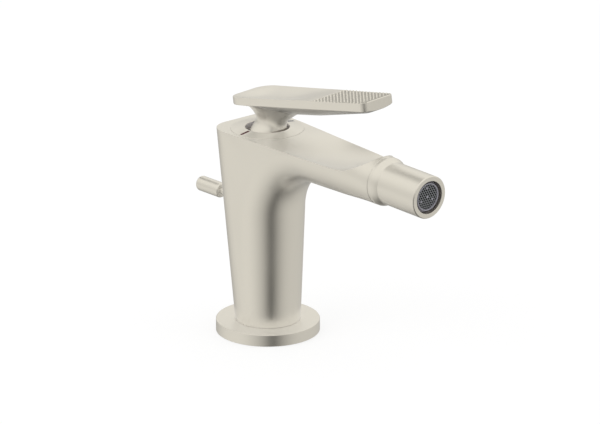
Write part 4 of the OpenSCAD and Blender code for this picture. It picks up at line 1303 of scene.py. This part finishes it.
    def rim_column(self, i, last, x, u):
        """Points down the side face at one place of the inset outline, from its upper to its lower edge."""
        r = self.edge
        if i in (0, last):
            normal = Vector((0, -1 if i == 0 else 1))
        else:
            normal = self.outline_normal(x, u)
        ox, ou = x + normal.x * r, u + normal.y * r
        top_w, under_w = self.top_w(x, u), self.under_w(x, u)
        low = self.under_w(ox, min(self.front, max(-self.back, ou)))
        high = min(0.0, top_w) * self.RIM_DIP
        upper, lower = self.place(ox, ou, -r), self.place(ox, ou, low + r)
        made = bezier(self.place(x, u, top_w), self.place(ox, ou, high), upper, self.EDGE_STEPS)
        made += [upper, self.place(ox, ou, mix(-r, low + r, 0.5)), lower]
        return made + bezier(lower, self.place(ox, ou, low), self.place(x, u, under_w), self.EDGE_STEPS)

    def blade(self):
        """Face, underside and rounded side of the blade."""
        skin = Skin()
        n = self.ACROSS_STEPS
        us = self.stations()
        top, under = [], []
        for u in us:
            half = self.half(u, self.edge)
            xs = [half * (1 - 2 * k / n) for k in range(n + 1)]
            top.append(skin.row([self.place(x, u, self.top_w(x, u)) for x in xs]))
            under.append(skin.row([self.place(x, u, self.under_w(x, u)) for x in xs]))
        for rows in (top, under):
            for a, b in zip(rows, rows[1:]):
                skin.strip(a, b)
        last = len(us) - 1
        loop = [(0, k) for k in range(n + 1)] + [(i, n) for i in range(1, last)]
        loop += [(last, n - k) for k in range(n + 1)] + [(last - i, 0) for i in range(1, last)]
        columns = []
        for i, k in loop:
            x = self.half(us[i], self.edge) * (1 - 2 * k / n)
            columns.append([top[i][k]] + skin.row(self.rim_column(i, last, x, us[i])) + [under[i][k]])
        for a, b in zip(columns, columns[1:] + columns[:1]):
            skin.strip(a, b)
        return skin

    def under_at(self, x, y):
        """Height of the blade's underside above a point of the deck."""
        u = -y / math.cos(self.tilt)
        f = min(1.0, abs(x) / self.width_at(u))
        drop = self.edge_h(u) + lookup(self.crown, u) * (1 - f ** self.CROWN_POWER)
        return self.z0 + u * math.sin(self.tilt) - drop / math.cos(self.tilt)

    def waist_r(self, a):
        """Radius of the oval waist by direction."""
        return self.WAIST_W * self.WAIST_LEN / math.hypot(self.WAIST_LEN * math.cos(a),
                                                          self.WAIST_W * math.sin(a))

    def bell_r(self, a):
        """Radius of the bell by direction: less at the back, which dips into the hole as the lever lifts."""
        return mix(self.BELL_R, self.BELL_BACK_R, max(0.0, math.sin(a)))

    def flare_r(self, a):
        """Radius of the flare under the blade by direction."""
        front, back = max(0.0, -math.sin(a)), max(0.0, math.sin(a))
        return self.half_w - self.FLARE_MARGIN + self.FLARE_FORE * front ** 2 - self.FLARE_AFT * back ** 2

    def flare_top(self, a):
        """Height at which the flare meets the underside, a little inside it."""
        r = self.flare_r(a)
        return self.under_at(r * math.cos(a), -self.STEM_FORE + r * math.sin(a)) + self.FLARE_SINK

    def stem(self):
        """Bell, trumpet up to the oval waist, and the flare that spreads into the underside of the blade."""
        bell_z, waist_z = self.PIVOT_Z + self.BELL_RISE, self.PIVOT_Z + self.WAIST_RISE
        rim_z = bell_z + self.BELL_EDGE
        angles = [2 * math.pi * k / self.STEM_STEPS for k in range(self.STEM_STEPS)]

        def ring(fore, radius_at, height_at):
            return [Vector((radius_at(a) * math.cos(a), -fore + radius_at(a) * math.sin(a), height_at(a)))
                    for a in angles]

        rows = []
        for k in range(self.BELL_EDGE_STEPS + 1):
            t = math.pi / 2 * k / self.BELL_EDGE_STEPS
            inset = self.BELL_EDGE * (1 - math.sin(t))
            z = bell_z + self.BELL_EDGE * (1 - math.cos(t))
            rows.append(ring(0, lambda a: self.bell_r(a) - inset, lambda a: z))
        for t in [k / self.BELL_STEPS for k in range(1, self.BELL_STEPS)]:
            s = (1 - t) ** self.BELL_POWER
            rows.append(ring(mix(self.STEM_FORE, 0, s),
                             lambda a: mix(self.waist_r(a), self.bell_r(a), s),
                             lambda a: mix(rim_z, waist_z, t)))
        for t in [math.pi / 2 * k / self.FLARE_STEPS for k in range(self.FLARE_STEPS + 1)]:
            spread = (1 - math.cos(t)) ** self.FLARE_POWER
            rows.append(ring(self.STEM_FORE,
                             lambda a: mix(self.waist_r(a), self.flare_r(a), spread),
                             lambda a: mix(waist_z, self.flare_top(a), math.sin(t))))
        rows = self.smoothed(rows)
        cap = []
        for a in angles:
            r = self.flare_r(a) * self.CAP_SHARE
            cap.append(self.place(r * math.cos(a), self.STEM_FORE - r * math.sin(a), -self.hollow_depth - 1))
        rows.append(cap)
        skin = Skin()
        made = skin.rows(rows, closed=True)
        skin.fan(made[0], (0, 0, bell_z), closed=True)
        middle = sum((Vector(skin.points[i]) for i in made[-1]), Vector()) / self.STEM_STEPS
        skin.fan(made[-1], middle, closed=True)
        return skin

    def smoothed(self, rows):
        """Rows of the stem with the crease at the waist smoothed out along it."""
        first = self.PLAIN_ROWS
        for _ in range(self.SMOOTH_PASSES):
            inner = [[(p + q * 2 + r) / 4 for p, q, r in zip(rows[k - 1], rows[k], rows[k + 1])]
                     for k in range(first, len(rows) - 1)]
            rows = rows[:first] + inner + rows[-1:]
        return rows

    def cutters(self):
        """Tools for the socket of the square spindle and for the bore of the grub screw."""
        half = self.SOCKET_HALF
        square = [(-half, -half), (half, -half), (half, half), (-half, half)]
        low, high = [self.PIVOT_Z + rise for rise in self.SOCKET_RISE]
        spot = Matrix.Translation((0, 0, (self.PIVOT_Z + self.SCREW_RISE) * MM))
        bore = rod(self.SCREW_R, 0, self.WAIST_LEN + self.SCREW_PAST)
        return [prism(square, low, high).mesh("socket_tool"),
                bore.mesh("screw_tool", spot @ Matrix.Rotation(-math.pi / 2, 4, "X"))]


# ---------------------------------------------------------------- operators

class MIXER_OT_body(bpy.types.Operator):
    """Makes the cast body: column, fan of sections round the hollow, scooped spout and its bores"""
    bl_idname = "mixer.body"
    bl_label = "Cast body"

    def execute(self, context):
        form = BodyForm(context.scene.mixer_body)
        mesh = form.skin().mesh("cast_body", mirrored=True)
        mesh = carved(mesh, body_cutters(form))
        add_piece("cast_body", mesh, nickel(), "body", ["body_casting"])
        return {"FINISHED"}


class MIXER_OT_lever(bpy.types.Operator):
    """Makes the lever: hollowed blade with a knurled grip, and its flared stem"""
    bl_idname = "mixer.lever"
    bl_label = "Lever"

    def execute(self, context):
        form = LeverForm(context.scene.mixer_lever)
        mesh = carved(form.blade().mesh("lever_blade"), form.cutters(), keep=[form.stem().mesh("lever_stem")])
        mesh.transform(form.turn)
        # The lever's nickel takes a painted shade on faces that look down in front of the stem
        plating = plated("lever_nickel_painted_shade", painted_underside_shade)
        piece = add_piece("lever", mesh, plating, "lever", ["lever_handle"], sharp=38.0)
        # Faces low between the knurl's points take the darker nickel: painted shade in the valleys
        add_second_finish(piece, valley_shade_nickel(), lambda polygon: form.in_valley(polygon.center))
        return {"FINISHED"}


class MIXER_OT_base(bpy.types.Operator):
    """Makes the base disc, turned, with a small round on its upper edge"""
    bl_idname = "mixer.base"
    bl_label = "Base disc"

    HOLE_GAP = 0.05
    RECESS_TOP = 2.2
    RECESS_WALL = 5.0
    GASKET_TOP = 1.6
    GASKET_WALL = 1.2
    RIM_Z = 0.3

    def execute(self, context):
        sizes = context.scene.mixer_body
        r, h = sizes.base_diameter / MM / 2, sizes.base_height / MM
        hole = BodyForm.SPIGOT_R + self.HOLE_GAP
        recess, groove = r - self.RECESS_WALL, r - self.GASKET_WALL
        profile = rounded_profile([
            (hole, h, 0), (hole, self.RECESS_TOP, 0), (recess, self.RECESS_TOP, 0),
            (recess, self.GASKET_TOP, 0), (groove, self.GASKET_TOP, 0), (groove, self.RIM_Z, 0.1),
            (r, self.RIM_Z, 0.15), (r, h, 0.45)])
        mesh = turned(profile, context.scene.mixer_trim.turned_steps).mesh("base_disc")
        add_piece("base_disc", mesh, nickel(), "body", ["base_escutcheon"])
        return {"FINISHED"}


class MIXER_OT_cover_ring(bpy.types.Operator):
    """Makes the cover ring over the cartridge, with slots for its two colour marks"""
    bl_idname = "mixer.cover_ring"
    bl_label = "Cover ring"

    # Ring, as radii and as heights above or depths below the column's top edge
    HOLE_R = 11.36
    SKIRT_R = 12.6
    SKIRT_DEPTH = 4.1
    RISE = 1.2
    OUTER_RISE = 0.15
    CHAMFER = 0.3
    # Marks: distance from the hole and from the rim, half width, depth of slot and fill, gap round the fill
    MARK_FROM_HOLE = 1.1
    MARK_FROM_RIM = 0.9
    MARK_HALF = 0.75
    SLOT_DEPTH = 0.27
    SLOT_ABOVE = 2.0
    FILL_DEPTH = 0.25
    FILL_SUNK = 0.02
    SLOT_GROW = 0.02
    FILL_GROW = -0.01
    # Bare plastic inside the hole: how far past the hole and how tilted its faces may be
    BORE_REACH = 0.1
    BORE_TILT = 0.3
    BORE_COLOUR = (0.86, 0.83, 0.86)

    def mark(self, near, far, grow, low, high):
        """Prism of a mark, grown by a little all round."""
        half = self.MARK_HALF + grow
        outline = [(near - grow, -half), (far + grow, -half), (far + grow, half), (near - grow, half)]
        return prism(outline, low, high)

    def in_bore(self, polygon):
        """Whether a face belongs to the wall of the hole."""
        reach = math.hypot(polygon.center.x, polygon.center.y)
        return reach < (self.HOLE_R + self.BORE_REACH) * MM and abs(polygon.normal.z) < self.BORE_TILT

    def execute(self, context):
        r = context.scene.mixer_trim.ring_diameter / MM / 2
        top = context.scene.mixer_body.top_height / MM
        hole, skirt, rise = self.HOLE_R, self.SKIRT_R, top + self.RISE
        foot, seat, outer = top - self.SKIRT_DEPTH, top - BodyBores.RING_SEAT, top + self.OUTER_RISE
        profile = rounded_profile([
            (hole, foot, 0.2), (skirt, foot, 0.2), (skirt, seat, 0), (r, seat, 0), (r, outer, 0.12),
            (hole + self.CHAMFER, rise, 0.15), (hole, rise - self.CHAMFER, 0.15)])
        mesh = turned(profile, context.scene.mixer_trim.turned_steps).mesh("cover_ring_turned")
        slope = math.atan((rise - outer) / (r - hole - self.CHAMFER))
        mark_in, mark_out = hole + self.MARK_FROM_HOLE, r - self.MARK_FROM_RIM
        length = (mark_out - mark_in) / math.cos(slope)
        tools = []
        for side, node, enamel in ((-1, "hot_mark", "red_enamel"), (1, "cold_mark", "blue_enamel")):
            spot = Vector((side * mark_out, 0, outer + (r - mark_out) * math.tan(slope))) * MM
            place = Matrix.Translation(spot) @ Matrix.Rotation(side * slope, 4, "Y")
            near, far = (-length, 0) if side > 0 else (0, length)
            slot = self.mark(near, far, self.SLOT_GROW, -self.SLOT_DEPTH, self.SLOT_ABOVE)
            fill = self.mark(near, far, self.FILL_GROW, -self.FILL_DEPTH, -self.FILL_SUNK)
            tools.append(slot.mesh("mark_tool", place))
            name = node + "_enamel"
            add_piece(name, fill.mesh(name, place), CAD_FINISHES[enamel](), "body", [node])
        mesh = carved(mesh, tools)
        piece = add_piece("cover_ring_turned", mesh, nickel(), "body", ["cover_ring"])
        add_second_finish(piece, moulded("ring_bore_plastic", self.BORE_COLOUR, 0.5), self.in_bore)
        return {"FINISHED"}


# Collar and nozzle, in millimetres: inset of the collar in the spout's end, its straight rim, the gap
# between its dome and the nozzle, and the floor of the nozzle round the neck
COLLAR_INSET = 0.05
COLLAR_RIM = 2.0
DOME_GAP = 0.3
NOZZLE_FLOOR = 3.3
# Swing of the neck to each side in the collar's mouth, with a little to spare, in degrees
NECK_SWING = 13.5


def nozzle_back(body):
    """Radius of the hollow back of the nozzle, which rides on the collar's dome."""
    return math.hypot(body.tube_r - COLLAR_INSET, BALL_BACK + COLLAR_RIM) + DOME_GAP


class MIXER_OT_spout_end(bpy.types.Operator):
    """Makes the collar at the end of the spout and the nozzle that swivels on it"""
    bl_idname = "mixer.spout_end"
    bl_label = "Collar and nozzle"

    # Collar: radius behind the ball, thread length and inset, gap round the ball, angle where its socket ends
    THROAT_R = 8.9
    THREAD_LENGTH = 3.1
    THREAD_INSET = 2.17
    SOCKET_GAP = 0.06
    SOCKET_END = 87.0
    # Nozzle: gap on the neck, step to the aerator's bore and how much smaller the chamber is, face chamfer
    NECK_GAP = 0.02
    CHAMBER = 3.5
    CHAMBER_STEP = 1.1
    FACE_CHAMFER = 0.45

    def collar(self, body):
        """Profile of the collar, zero at the ball's centre."""
        collar_r = body.tube_r - COLLAR_INSET
        rim_front = BALL_BACK + COLLAR_RIM
        dome_r = math.hypot(collar_r, rim_front)
        rim_angle = math.degrees(math.atan2(collar_r, rim_front))
        mouth_in, mouth_out = [math.degrees(math.asin(NECK_R / r)) + NECK_SWING for r in (BALL_R, dome_r)]
        socket_r = BALL_R + self.SOCKET_GAP
        thread, thread_end = body.tube_r - self.THREAD_INSET, BALL_BACK - self.THREAD_LENGTH
        profile = [(self.THROAT_R, thread_end, 0), (thread, thread_end, 0), (thread, BALL_BACK, 0),
                   (collar_r, BALL_BACK, 0.28)]
        profile += arc_profile(dome_r, rim_angle, mouth_out, 20, 0.2)
        profile += arc_profile(socket_r, mouth_in, self.SOCKET_END, 14)
        profile.append((self.THROAT_R, socket_r * math.cos(math.radians(self.SOCKET_END)), 0))
        return rounded_profile(profile)

    def nozzle(self, body, trim):
        """Profile of the nozzle, zero at the ball's centre."""
        r_back = nozzle_back(body)
        r, mouth_r = trim.nozzle_diameter / MM / 2, trim.mouth_diameter / MM / 2
        reach = trim.nozzle_reach / MM
        neck_r, neck_end = NECK_R + self.NECK_GAP, r_back + NOZZLE_FLOOR
        shoulder, chamber_r = neck_end + self.CHAMBER, mouth_r - self.CHAMBER_STEP
        profile = arc_profile(r_back, math.degrees(math.asin(neck_r / r_back)),
                              math.degrees(math.asin(r / r_back)), 20, 0.15)
        profile += [(r, reach - self.FACE_CHAMFER, 0.12), (r - self.FACE_CHAMFER, reach, 0.12),
                    (mouth_r, reach, 0.15), (mouth_r, shoulder, 0), (chamber_r, shoulder, 0),
                    (chamber_r, neck_end, 0), (neck_r, neck_end, 0)]
        return rounded_profile(profile)

    def execute(self, context):
        body = BodyForm(context.scene.mixer_body)
        trim = context.scene.mixer_trim
        place = spout_place(body)
        mesh = turned(self.collar(body), trim.turned_steps).mesh("spout_collar_turned", place)
        add_piece("spout_collar_turned", mesh, nickel(), "body", ["spout_collar"])
        mesh = turned(self.nozzle(body, trim), trim.turned_steps).mesh("nozzle_turned", place)
        add_piece("nozzle_turned", mesh, nickel(), "nozzle", ["nozzle_sleeve"])
        return {"FINISHED"}


class MIXER_OT_aerator(bpy.types.Operator):
    """Makes the aerator insert and its honeycomb screen with four small pins"""
    bl_idname = "mixer.aerator"
    bl_label = "Aerator"

    # Insert: depth behind the nozzle's face, gap round it, share of its radius and height of the raised
    # rim, how far its back lies ahead of the nozzle's floor, its waterway and the thickness of its back
    RECESS = 1.0
    INSERT_GAP = 0.16
    RIM_SHARE = 0.86
    RIM_HEIGHT = 2.2
    BACK_AHEAD = 4.7
    WATERWAY_R = 2.0
    BACK_WALL = 2.0
    # Screen: width of the rim round it, depth behind the rim, thickness, ledge behind it, gap round it
    RIM_WIDTH = 0.65
    SCREEN_RECESS = 0.5
    SCREEN_H = 0.8
    LEDGE = 0.8
    SCREEN_GAP = 0.02
    # Cells: radius and least distance of a centre from the screen's rim, both in pitches, how far the cut
    # goes past each face, and how far a wall may tilt and still take the painted shade
    CELL_R = 0.43
    CELL_MARGIN = 0.15
    CUT_PAST = 0.4
    WALL_TILT = 0.5
    # Pins: radius, height over the screen and depth in it, and their places on it
    PIN_R = 0.6
    PIN_PROUD = 0.16
    PIN_SUNK = 0.3
    PIN_SPOTS = ((0.0, 0.0), (-0.5, 4.6), (3.3, -1.8), (-4.1, -1.7))

    def cells(self, pitch, radius, low, high):
        """Skin of the six-sided prisms that open the cells of the screen."""
        skin = Skin()
        row_step = pitch * math.sin(math.radians(60))
        rows = int(radius / row_step) + 1
        corners = [math.radians(30 + 60 * k) for k in range(6)]
        size = pitch * self.CELL_R
        for row in range(-rows, rows + 1):
            for col in range(-rows - 1, rows + 2):
                x, y = (col + (abs(row) % 2) / 2) * pitch, row * row_step
                if math.hypot(x, y) <= radius - pitch * self.CELL_MARGIN:
                    outline = [(x + size * math.cos(a), y + size * math.sin(a)) for a in corners]
                    skin.join(prism(outline, low, high))
        return skin

    def execute(self, context):
        body = BodyForm(context.scene.mixer_body)
        trim = context.scene.mixer_trim
        place = spout_place(body)
        face = trim.nozzle_reach / MM - self.RECESS
        insert_r = trim.mouth_diameter / MM / 2 - self.INSERT_GAP
        rim_r = insert_r * self.RIM_SHARE
        screen_r = rim_r - self.RIM_WIDTH
        back = nozzle_back(body) + NOZZLE_FLOOR + self.BACK_AHEAD
        step, inside = face - self.RIM_HEIGHT, back + self.BACK_WALL
        screen_face = face - self.SCREEN_RECESS
        screen_back = screen_face - self.SCREEN_H
        ledge_r, way_r = screen_r - self.LEDGE, self.WATERWAY_R
        profile = rounded_profile([
            (way_r, back, 0), (insert_r, back, 0), (insert_r, step, 0.15), (rim_r, step, 0),
            (rim_r, face, 0.22), (screen_r, face, 0.2), (screen_r, screen_back, 0),
            (ledge_r, screen_back, 0), (ledge_r, inside, 0), (way_r, inside, 0)])
        mesh = turned(profile, trim.turned_steps).mesh("aerator_insert", place)
        grey = CAD_FINISHES["grey_plastic"]()
        add_piece("aerator_insert", mesh, grey, "nozzle", ["aerator_housing"])

        plate = rod(screen_r - self.SCREEN_GAP, screen_back, screen_face, steps=96)
        cells = self.cells(trim.screen_pitch / MM, screen_r, screen_back - self.CUT_PAST,
                           screen_face + self.CUT_PAST)
        mesh = carved(plate.mesh("aerator_screen_cells"), [cells.mesh("cell_tool")])
        mesh.transform(place)
        screen = CAD_FINISHES["dark_screen"]()
        piece = add_piece("aerator_screen_cells", mesh, screen, "nozzle", ["aerator_screen"])
        axis = place.col[2].xyz
        # Painted shade: the walls of the cells take near-black plastic, standing in for the shade inside them
        add_second_finish(piece, moulded("screen_cell_painted_shade", (0.02, 0.022, 0.022), 0.5),
                          lambda polygon: abs(polygon.normal.dot(axis)) < self.WALL_TILT)

        low, high = screen_face - self.PIN_SUNK, screen_face + self.PIN_PROUD
        pin = turned(rounded_profile([(0, low, 0), (self.PIN_R, low, 0), (self.PIN_R, high, 0.12),
                                      (0, high, 0)]), 24)
        pins = Skin()
        for x, y in self.PIN_SPOTS:
            pins.join(pin, (x, y, 0))
        add_piece("screen_pins", pins.mesh("screen_pins", place), grey, "nozzle")
        return {"FINISHED"}


class MIXER_OT_knob(bpy.types.Operator):
    """Makes the pull knob behind the column"""
    bl_idname = "mixer.knob"
    bl_label = "Pull knob"

    SHANK_R = 1.9
    SHANK_DEPTH = 5.0
    BACK_ROUND = 1.6
    FACE_ROUND = 0.8

    def execute(self, context):
        low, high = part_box("pull_knob")
        r = context.scene.mixer_trim.knob_diameter / MM / 2
        length = (high.y - low.y) / MM
        rounding = self.BACK_ROUND
        shoulder = [(r - rounding + rounding * math.sin(a), rounding * (1 - math.cos(a)), 0)
                    for a in [math.radians(15 * k) for k in range(6)]]
        profile = rounded_profile([
            (self.SHANK_R, 0, 0), *shoulder, (r, rounding, 0), (r, length, self.FACE_ROUND), (0, length, 0),
            (0, self.SHANK_DEPTH, 0), (self.SHANK_R, self.SHANK_DEPTH, 0)])
        place = Matrix.Translation((0, low.y, (low.z + high.z) / 2)) @ Matrix.Rotation(-math.pi / 2, 4, "X")
        mesh = turned(profile, 64).mesh("knob_turned", place)
        add_piece("knob_turned", mesh, nickel(), "pull_rod", ["pull_knob"])
        return {"FINISHED"}


class MIXER_OT_finishes(bpy.types.Operator):
    """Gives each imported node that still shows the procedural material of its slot"""
    bl_idname = "mixer.finishes"
    bl_label = "Finishes of the inner parts"

    def execute(self, context):
        for name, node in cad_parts.items():
            slot = node.data.materials[0].name.split(".")[0] if node.data.materials else ""
            if slot not in CAD_FINISHES:
                raise RuntimeError(f"no finish for slot {slot!r} of node {name}")
            material = CAD_FINISHES[slot]()
            for holder in node.material_slots:
                holder.material = material
        return {"FINISHED"}


class MIXER_OT_stage(bpy.types.Operator):
    """Sets the camera, the pale floor, the soft room light and two broad lamps"""
    bl_idname = "mixer.stage"
    bl_label = "Stage"

    # Camera: direction in degrees, focal length in pixels of the photo, and its place from the frame's zero
    # along its own right, up and back, in millimetres
    AZIMUTH = -41.471
    ELEVATION = 18.753
    FOCAL_PIXELS = 3849.26
    PHOTO_WIDTH = 600
    SENSOR = 36.0
    CAMERA_SPOT = (16.637, 60.721, 2000.0)
    CAMERA_CLIP = (0.05, 60.0)
    # Floor: grey, its own glow as a share of the background, and rings of its mesh in millimetres
    FLOOR_GREY = (0.3, 0.3, 0.3, 1.0)
    FLOOR_GLOW = 0.72
    FLOOR_RINGS = (200, 1500, 6000)
    # Lamps: name, place and width in metres, and power
    LAMPS = (("lamp_left", (-1.3, 0.2, 1.2), 1.2, 4.0), ("lamp_right", (0.9, -1.5, 1.3), 1.4, 3.0))
    LAMP_AIM = (0.0, -0.03, 0.06)

    def execute(self, context):
        scene = context.scene
        scene.view_settings.view_transform = "Standard"
        self.camera(scene)
        self.world(scene)
        self.floor(scene)
        self.lamps(scene)
        return {"FINISHED"}

    def camera(self, scene):
        """Camera at the photograph's viewing angle."""
        azimuth, elevation = math.radians(self.AZIMUTH), math.radians(self.ELEVATION)
        right = Vector((math.cos(azimuth), math.sin(azimuth), 0))
        back = Vector((math.sin(azimuth) * math.cos(elevation), -math.cos(azimuth) * math.cos(elevation),
                       math.sin(elevation)))
        up = back.cross(right)
        data = bpy.data.cameras.new("camera")
        data.sensor_width = self.SENSOR
        data.lens = self.FOCAL_PIXELS / self.PHOTO_WIDTH * data.sensor_width
        data.clip_start, data.clip_end = self.CAMERA_CLIP
        camera = bpy.data.objects.new("camera", data)
        scene.collection.objects.link(camera)
        to_right, upward, away = self.CAMERA_SPOT
        spot = (right * to_right + up * upward + back * away) * MM
        turn = Matrix((right, up, back)).transposed().to_4x4()
        camera.matrix_world = Matrix.Translation(spot) @ turn
        scene.camera = camera

    def world(self, scene):
        """Soft room: its levels for reflections, an even light for the rest, the backdrop for the camera."""
        finish = scene.mixer_finish
        world = bpy.data.worlds.new("soft_room")
        scene.world = world
        world.use_nodes = True
        tree = world.node_tree
        tree.nodes.clear()
        output = tree.nodes.new("ShaderNodeOutputWorld")
        place = tree.nodes.new("ShaderNodeTexCoord")
        glow = tree.nodes.new("ShaderNodeGroup")
        glow.node_tree = studio_group()
        plug(tree, place.outputs["Generated"], glow.inputs["Direction"])
        paths = tree.nodes.new("ShaderNodeLightPath")
        mirror = add_math(tree, "MAXIMUM", paths.outputs["Is Glossy Ray"],
                          paths.outputs["Is Transmission Ray"])
        seen = add_mix(tree, mirror, finish.room, glow.outputs["Glow"])
        shown = add_mix(tree, paths.outputs["Is Camera Ray"], seen, finish.background)
        light = tree.nodes.new("ShaderNodeBackground")
        light.inputs["Color"].default_value = (1, 1, 1, 1)
        plug(tree, shown, light.inputs["Strength"])
        plug(tree, light.outputs["Background"], output.inputs["Surface"])

    def floor(self, scene):
        """Pale floor that keeps the mixer's shadow and is left out of its reflections."""
        material = bpy.data.materials.new("pale_floor")
        material.use_nodes = True
        tree = material.node_tree
        tree.nodes.clear()
        output = tree.nodes.new("ShaderNodeOutputMaterial")
        paper = tree.nodes.new("ShaderNodeBsdfDiffuse")
        paper.inputs["Color"].default_value = self.FLOOR_GREY
        glow = tree.nodes.new("ShaderNodeEmission")
        glow.inputs["Strength"].default_value = self.FLOOR_GLOW * scene.mixer_finish.background
        both = tree.nodes.new("ShaderNodeAddShader")
        plug(tree, paper.outputs["BSDF"], both.inputs[0])
        plug(tree, glow.outputs["Emission"], both.inputs[1])
        plug(tree, both.outputs["Shader"], output.inputs["Surface"])
        skin = Skin()
        rings = [circle_points(r, 64) for r in self.FLOOR_RINGS]
        made = skin.rows([[(x, y, 0) for x, y in ring] for ring in rings], closed=True)
        skin.fan(made[0], (0, 0, 0), closed=True)
        mesh = skin.mesh("pale_floor")
        if mesh.polygons[0].normal.z < 0:
            mesh.flip_normals()
        mesh.materials.append(material)
        floor = bpy.data.objects.new("pale_floor", mesh)
        scene.collection.objects.link(floor)
        floor.visible_glossy = False

    def lamps(self, scene):
        """Two broad lamps that give the diffuse light its direction and don't show in reflections."""
        for name, spot, size, power in self.LAMPS:
            data = bpy.data.lights.new(name, "AREA")
            data.shape = "SQUARE"
            data.size = size
            data.energy = power
            lamp = bpy.data.objects.new(name, data)
            lamp.location = spot
            lamp.visible_glossy = False
            aim = Vector(self.LAMP_AIM) - Vector(spot)
            lamp.rotation_mode = "QUATERNION"
            lamp.rotation_quaternion = aim.to_track_quat("-Z", "Y")
            scene.collection.objects.link(lamp)


class MIXER_PT_panel(bpy.types.Panel):
    """Panel with the mixer's sizes, finishes and pieces"""
    bl_idname = "MIXER_PT_panel"
    bl_label = "Bidet mixer"
    bl_space_type = "VIEW_3D"
    bl_region_type = "UI"
    bl_category = "Mixer"

    def draw(self, context):
        scene = context.scene
        for title, group in (("Body", scene.mixer_body), ("Lever", scene.mixer_lever),
                             ("Trim", scene.mixer_trim), ("Finish", scene.mixer_finish)):
            box = self.layout.box()
            box.label(text=title)
            for name in group.bl_rna.properties.keys():
                if name not in ("rna_type", "name"):
                    box.prop(group, name)
        box = self.layout.box()
        box.label(text="Pieces")
        for operator in PIECES:
            box.operator(operator.bl_idname)


PIECES = (MIXER_OT_finishes, MIXER_OT_body, MIXER_OT_lever, MIXER_OT_base, MIXER_OT_cover_ring,
          MIXER_OT_spout_end, MIXER_OT_aerator, MIXER_OT_knob, MIXER_OT_stage)
GROUPS = {"mixer_body": MixerBodySizes, "mixer_lever": MixerLeverSizes, "mixer_trim": MixerTrimSizes,
          "mixer_finish": MixerFinish}


def register():
    for group in GROUPS.values():
        bpy.utils.register_class(group)
    for operator in PIECES:
        bpy.utils.register_class(operator)
    bpy.utils.register_class(MIXER_PT_panel)
    for name, group in GROUPS.items():
        setattr(bpy.types.Scene, name, PointerProperty(type=group))


def unregister():
    for name in GROUPS:
        delattr(bpy.types.Scene, name)
    bpy.utils.unregister_class(MIXER_PT_panel)
    for operator in reversed(PIECES):
        bpy.utils.unregister_class(operator)
    for group in reversed(list(GROUPS.values())):
        bpy.utils.unregister_class(group)


def main():
    register()
    bpy.ops.mixer.finishes()
    bpy.ops.mixer.body()
    bpy.ops.mixer.lever()
    bpy.ops.mixer.base()
    bpy.ops.mixer.cover_ring()
    bpy.ops.mixer.spout_end()
    bpy.ops.mixer.aerator()
    bpy.ops.mixer.knob()
    bpy.ops.mixer.stage()
    bpy.context.view_layer.update()


if __name__ == "__main__":
    main()
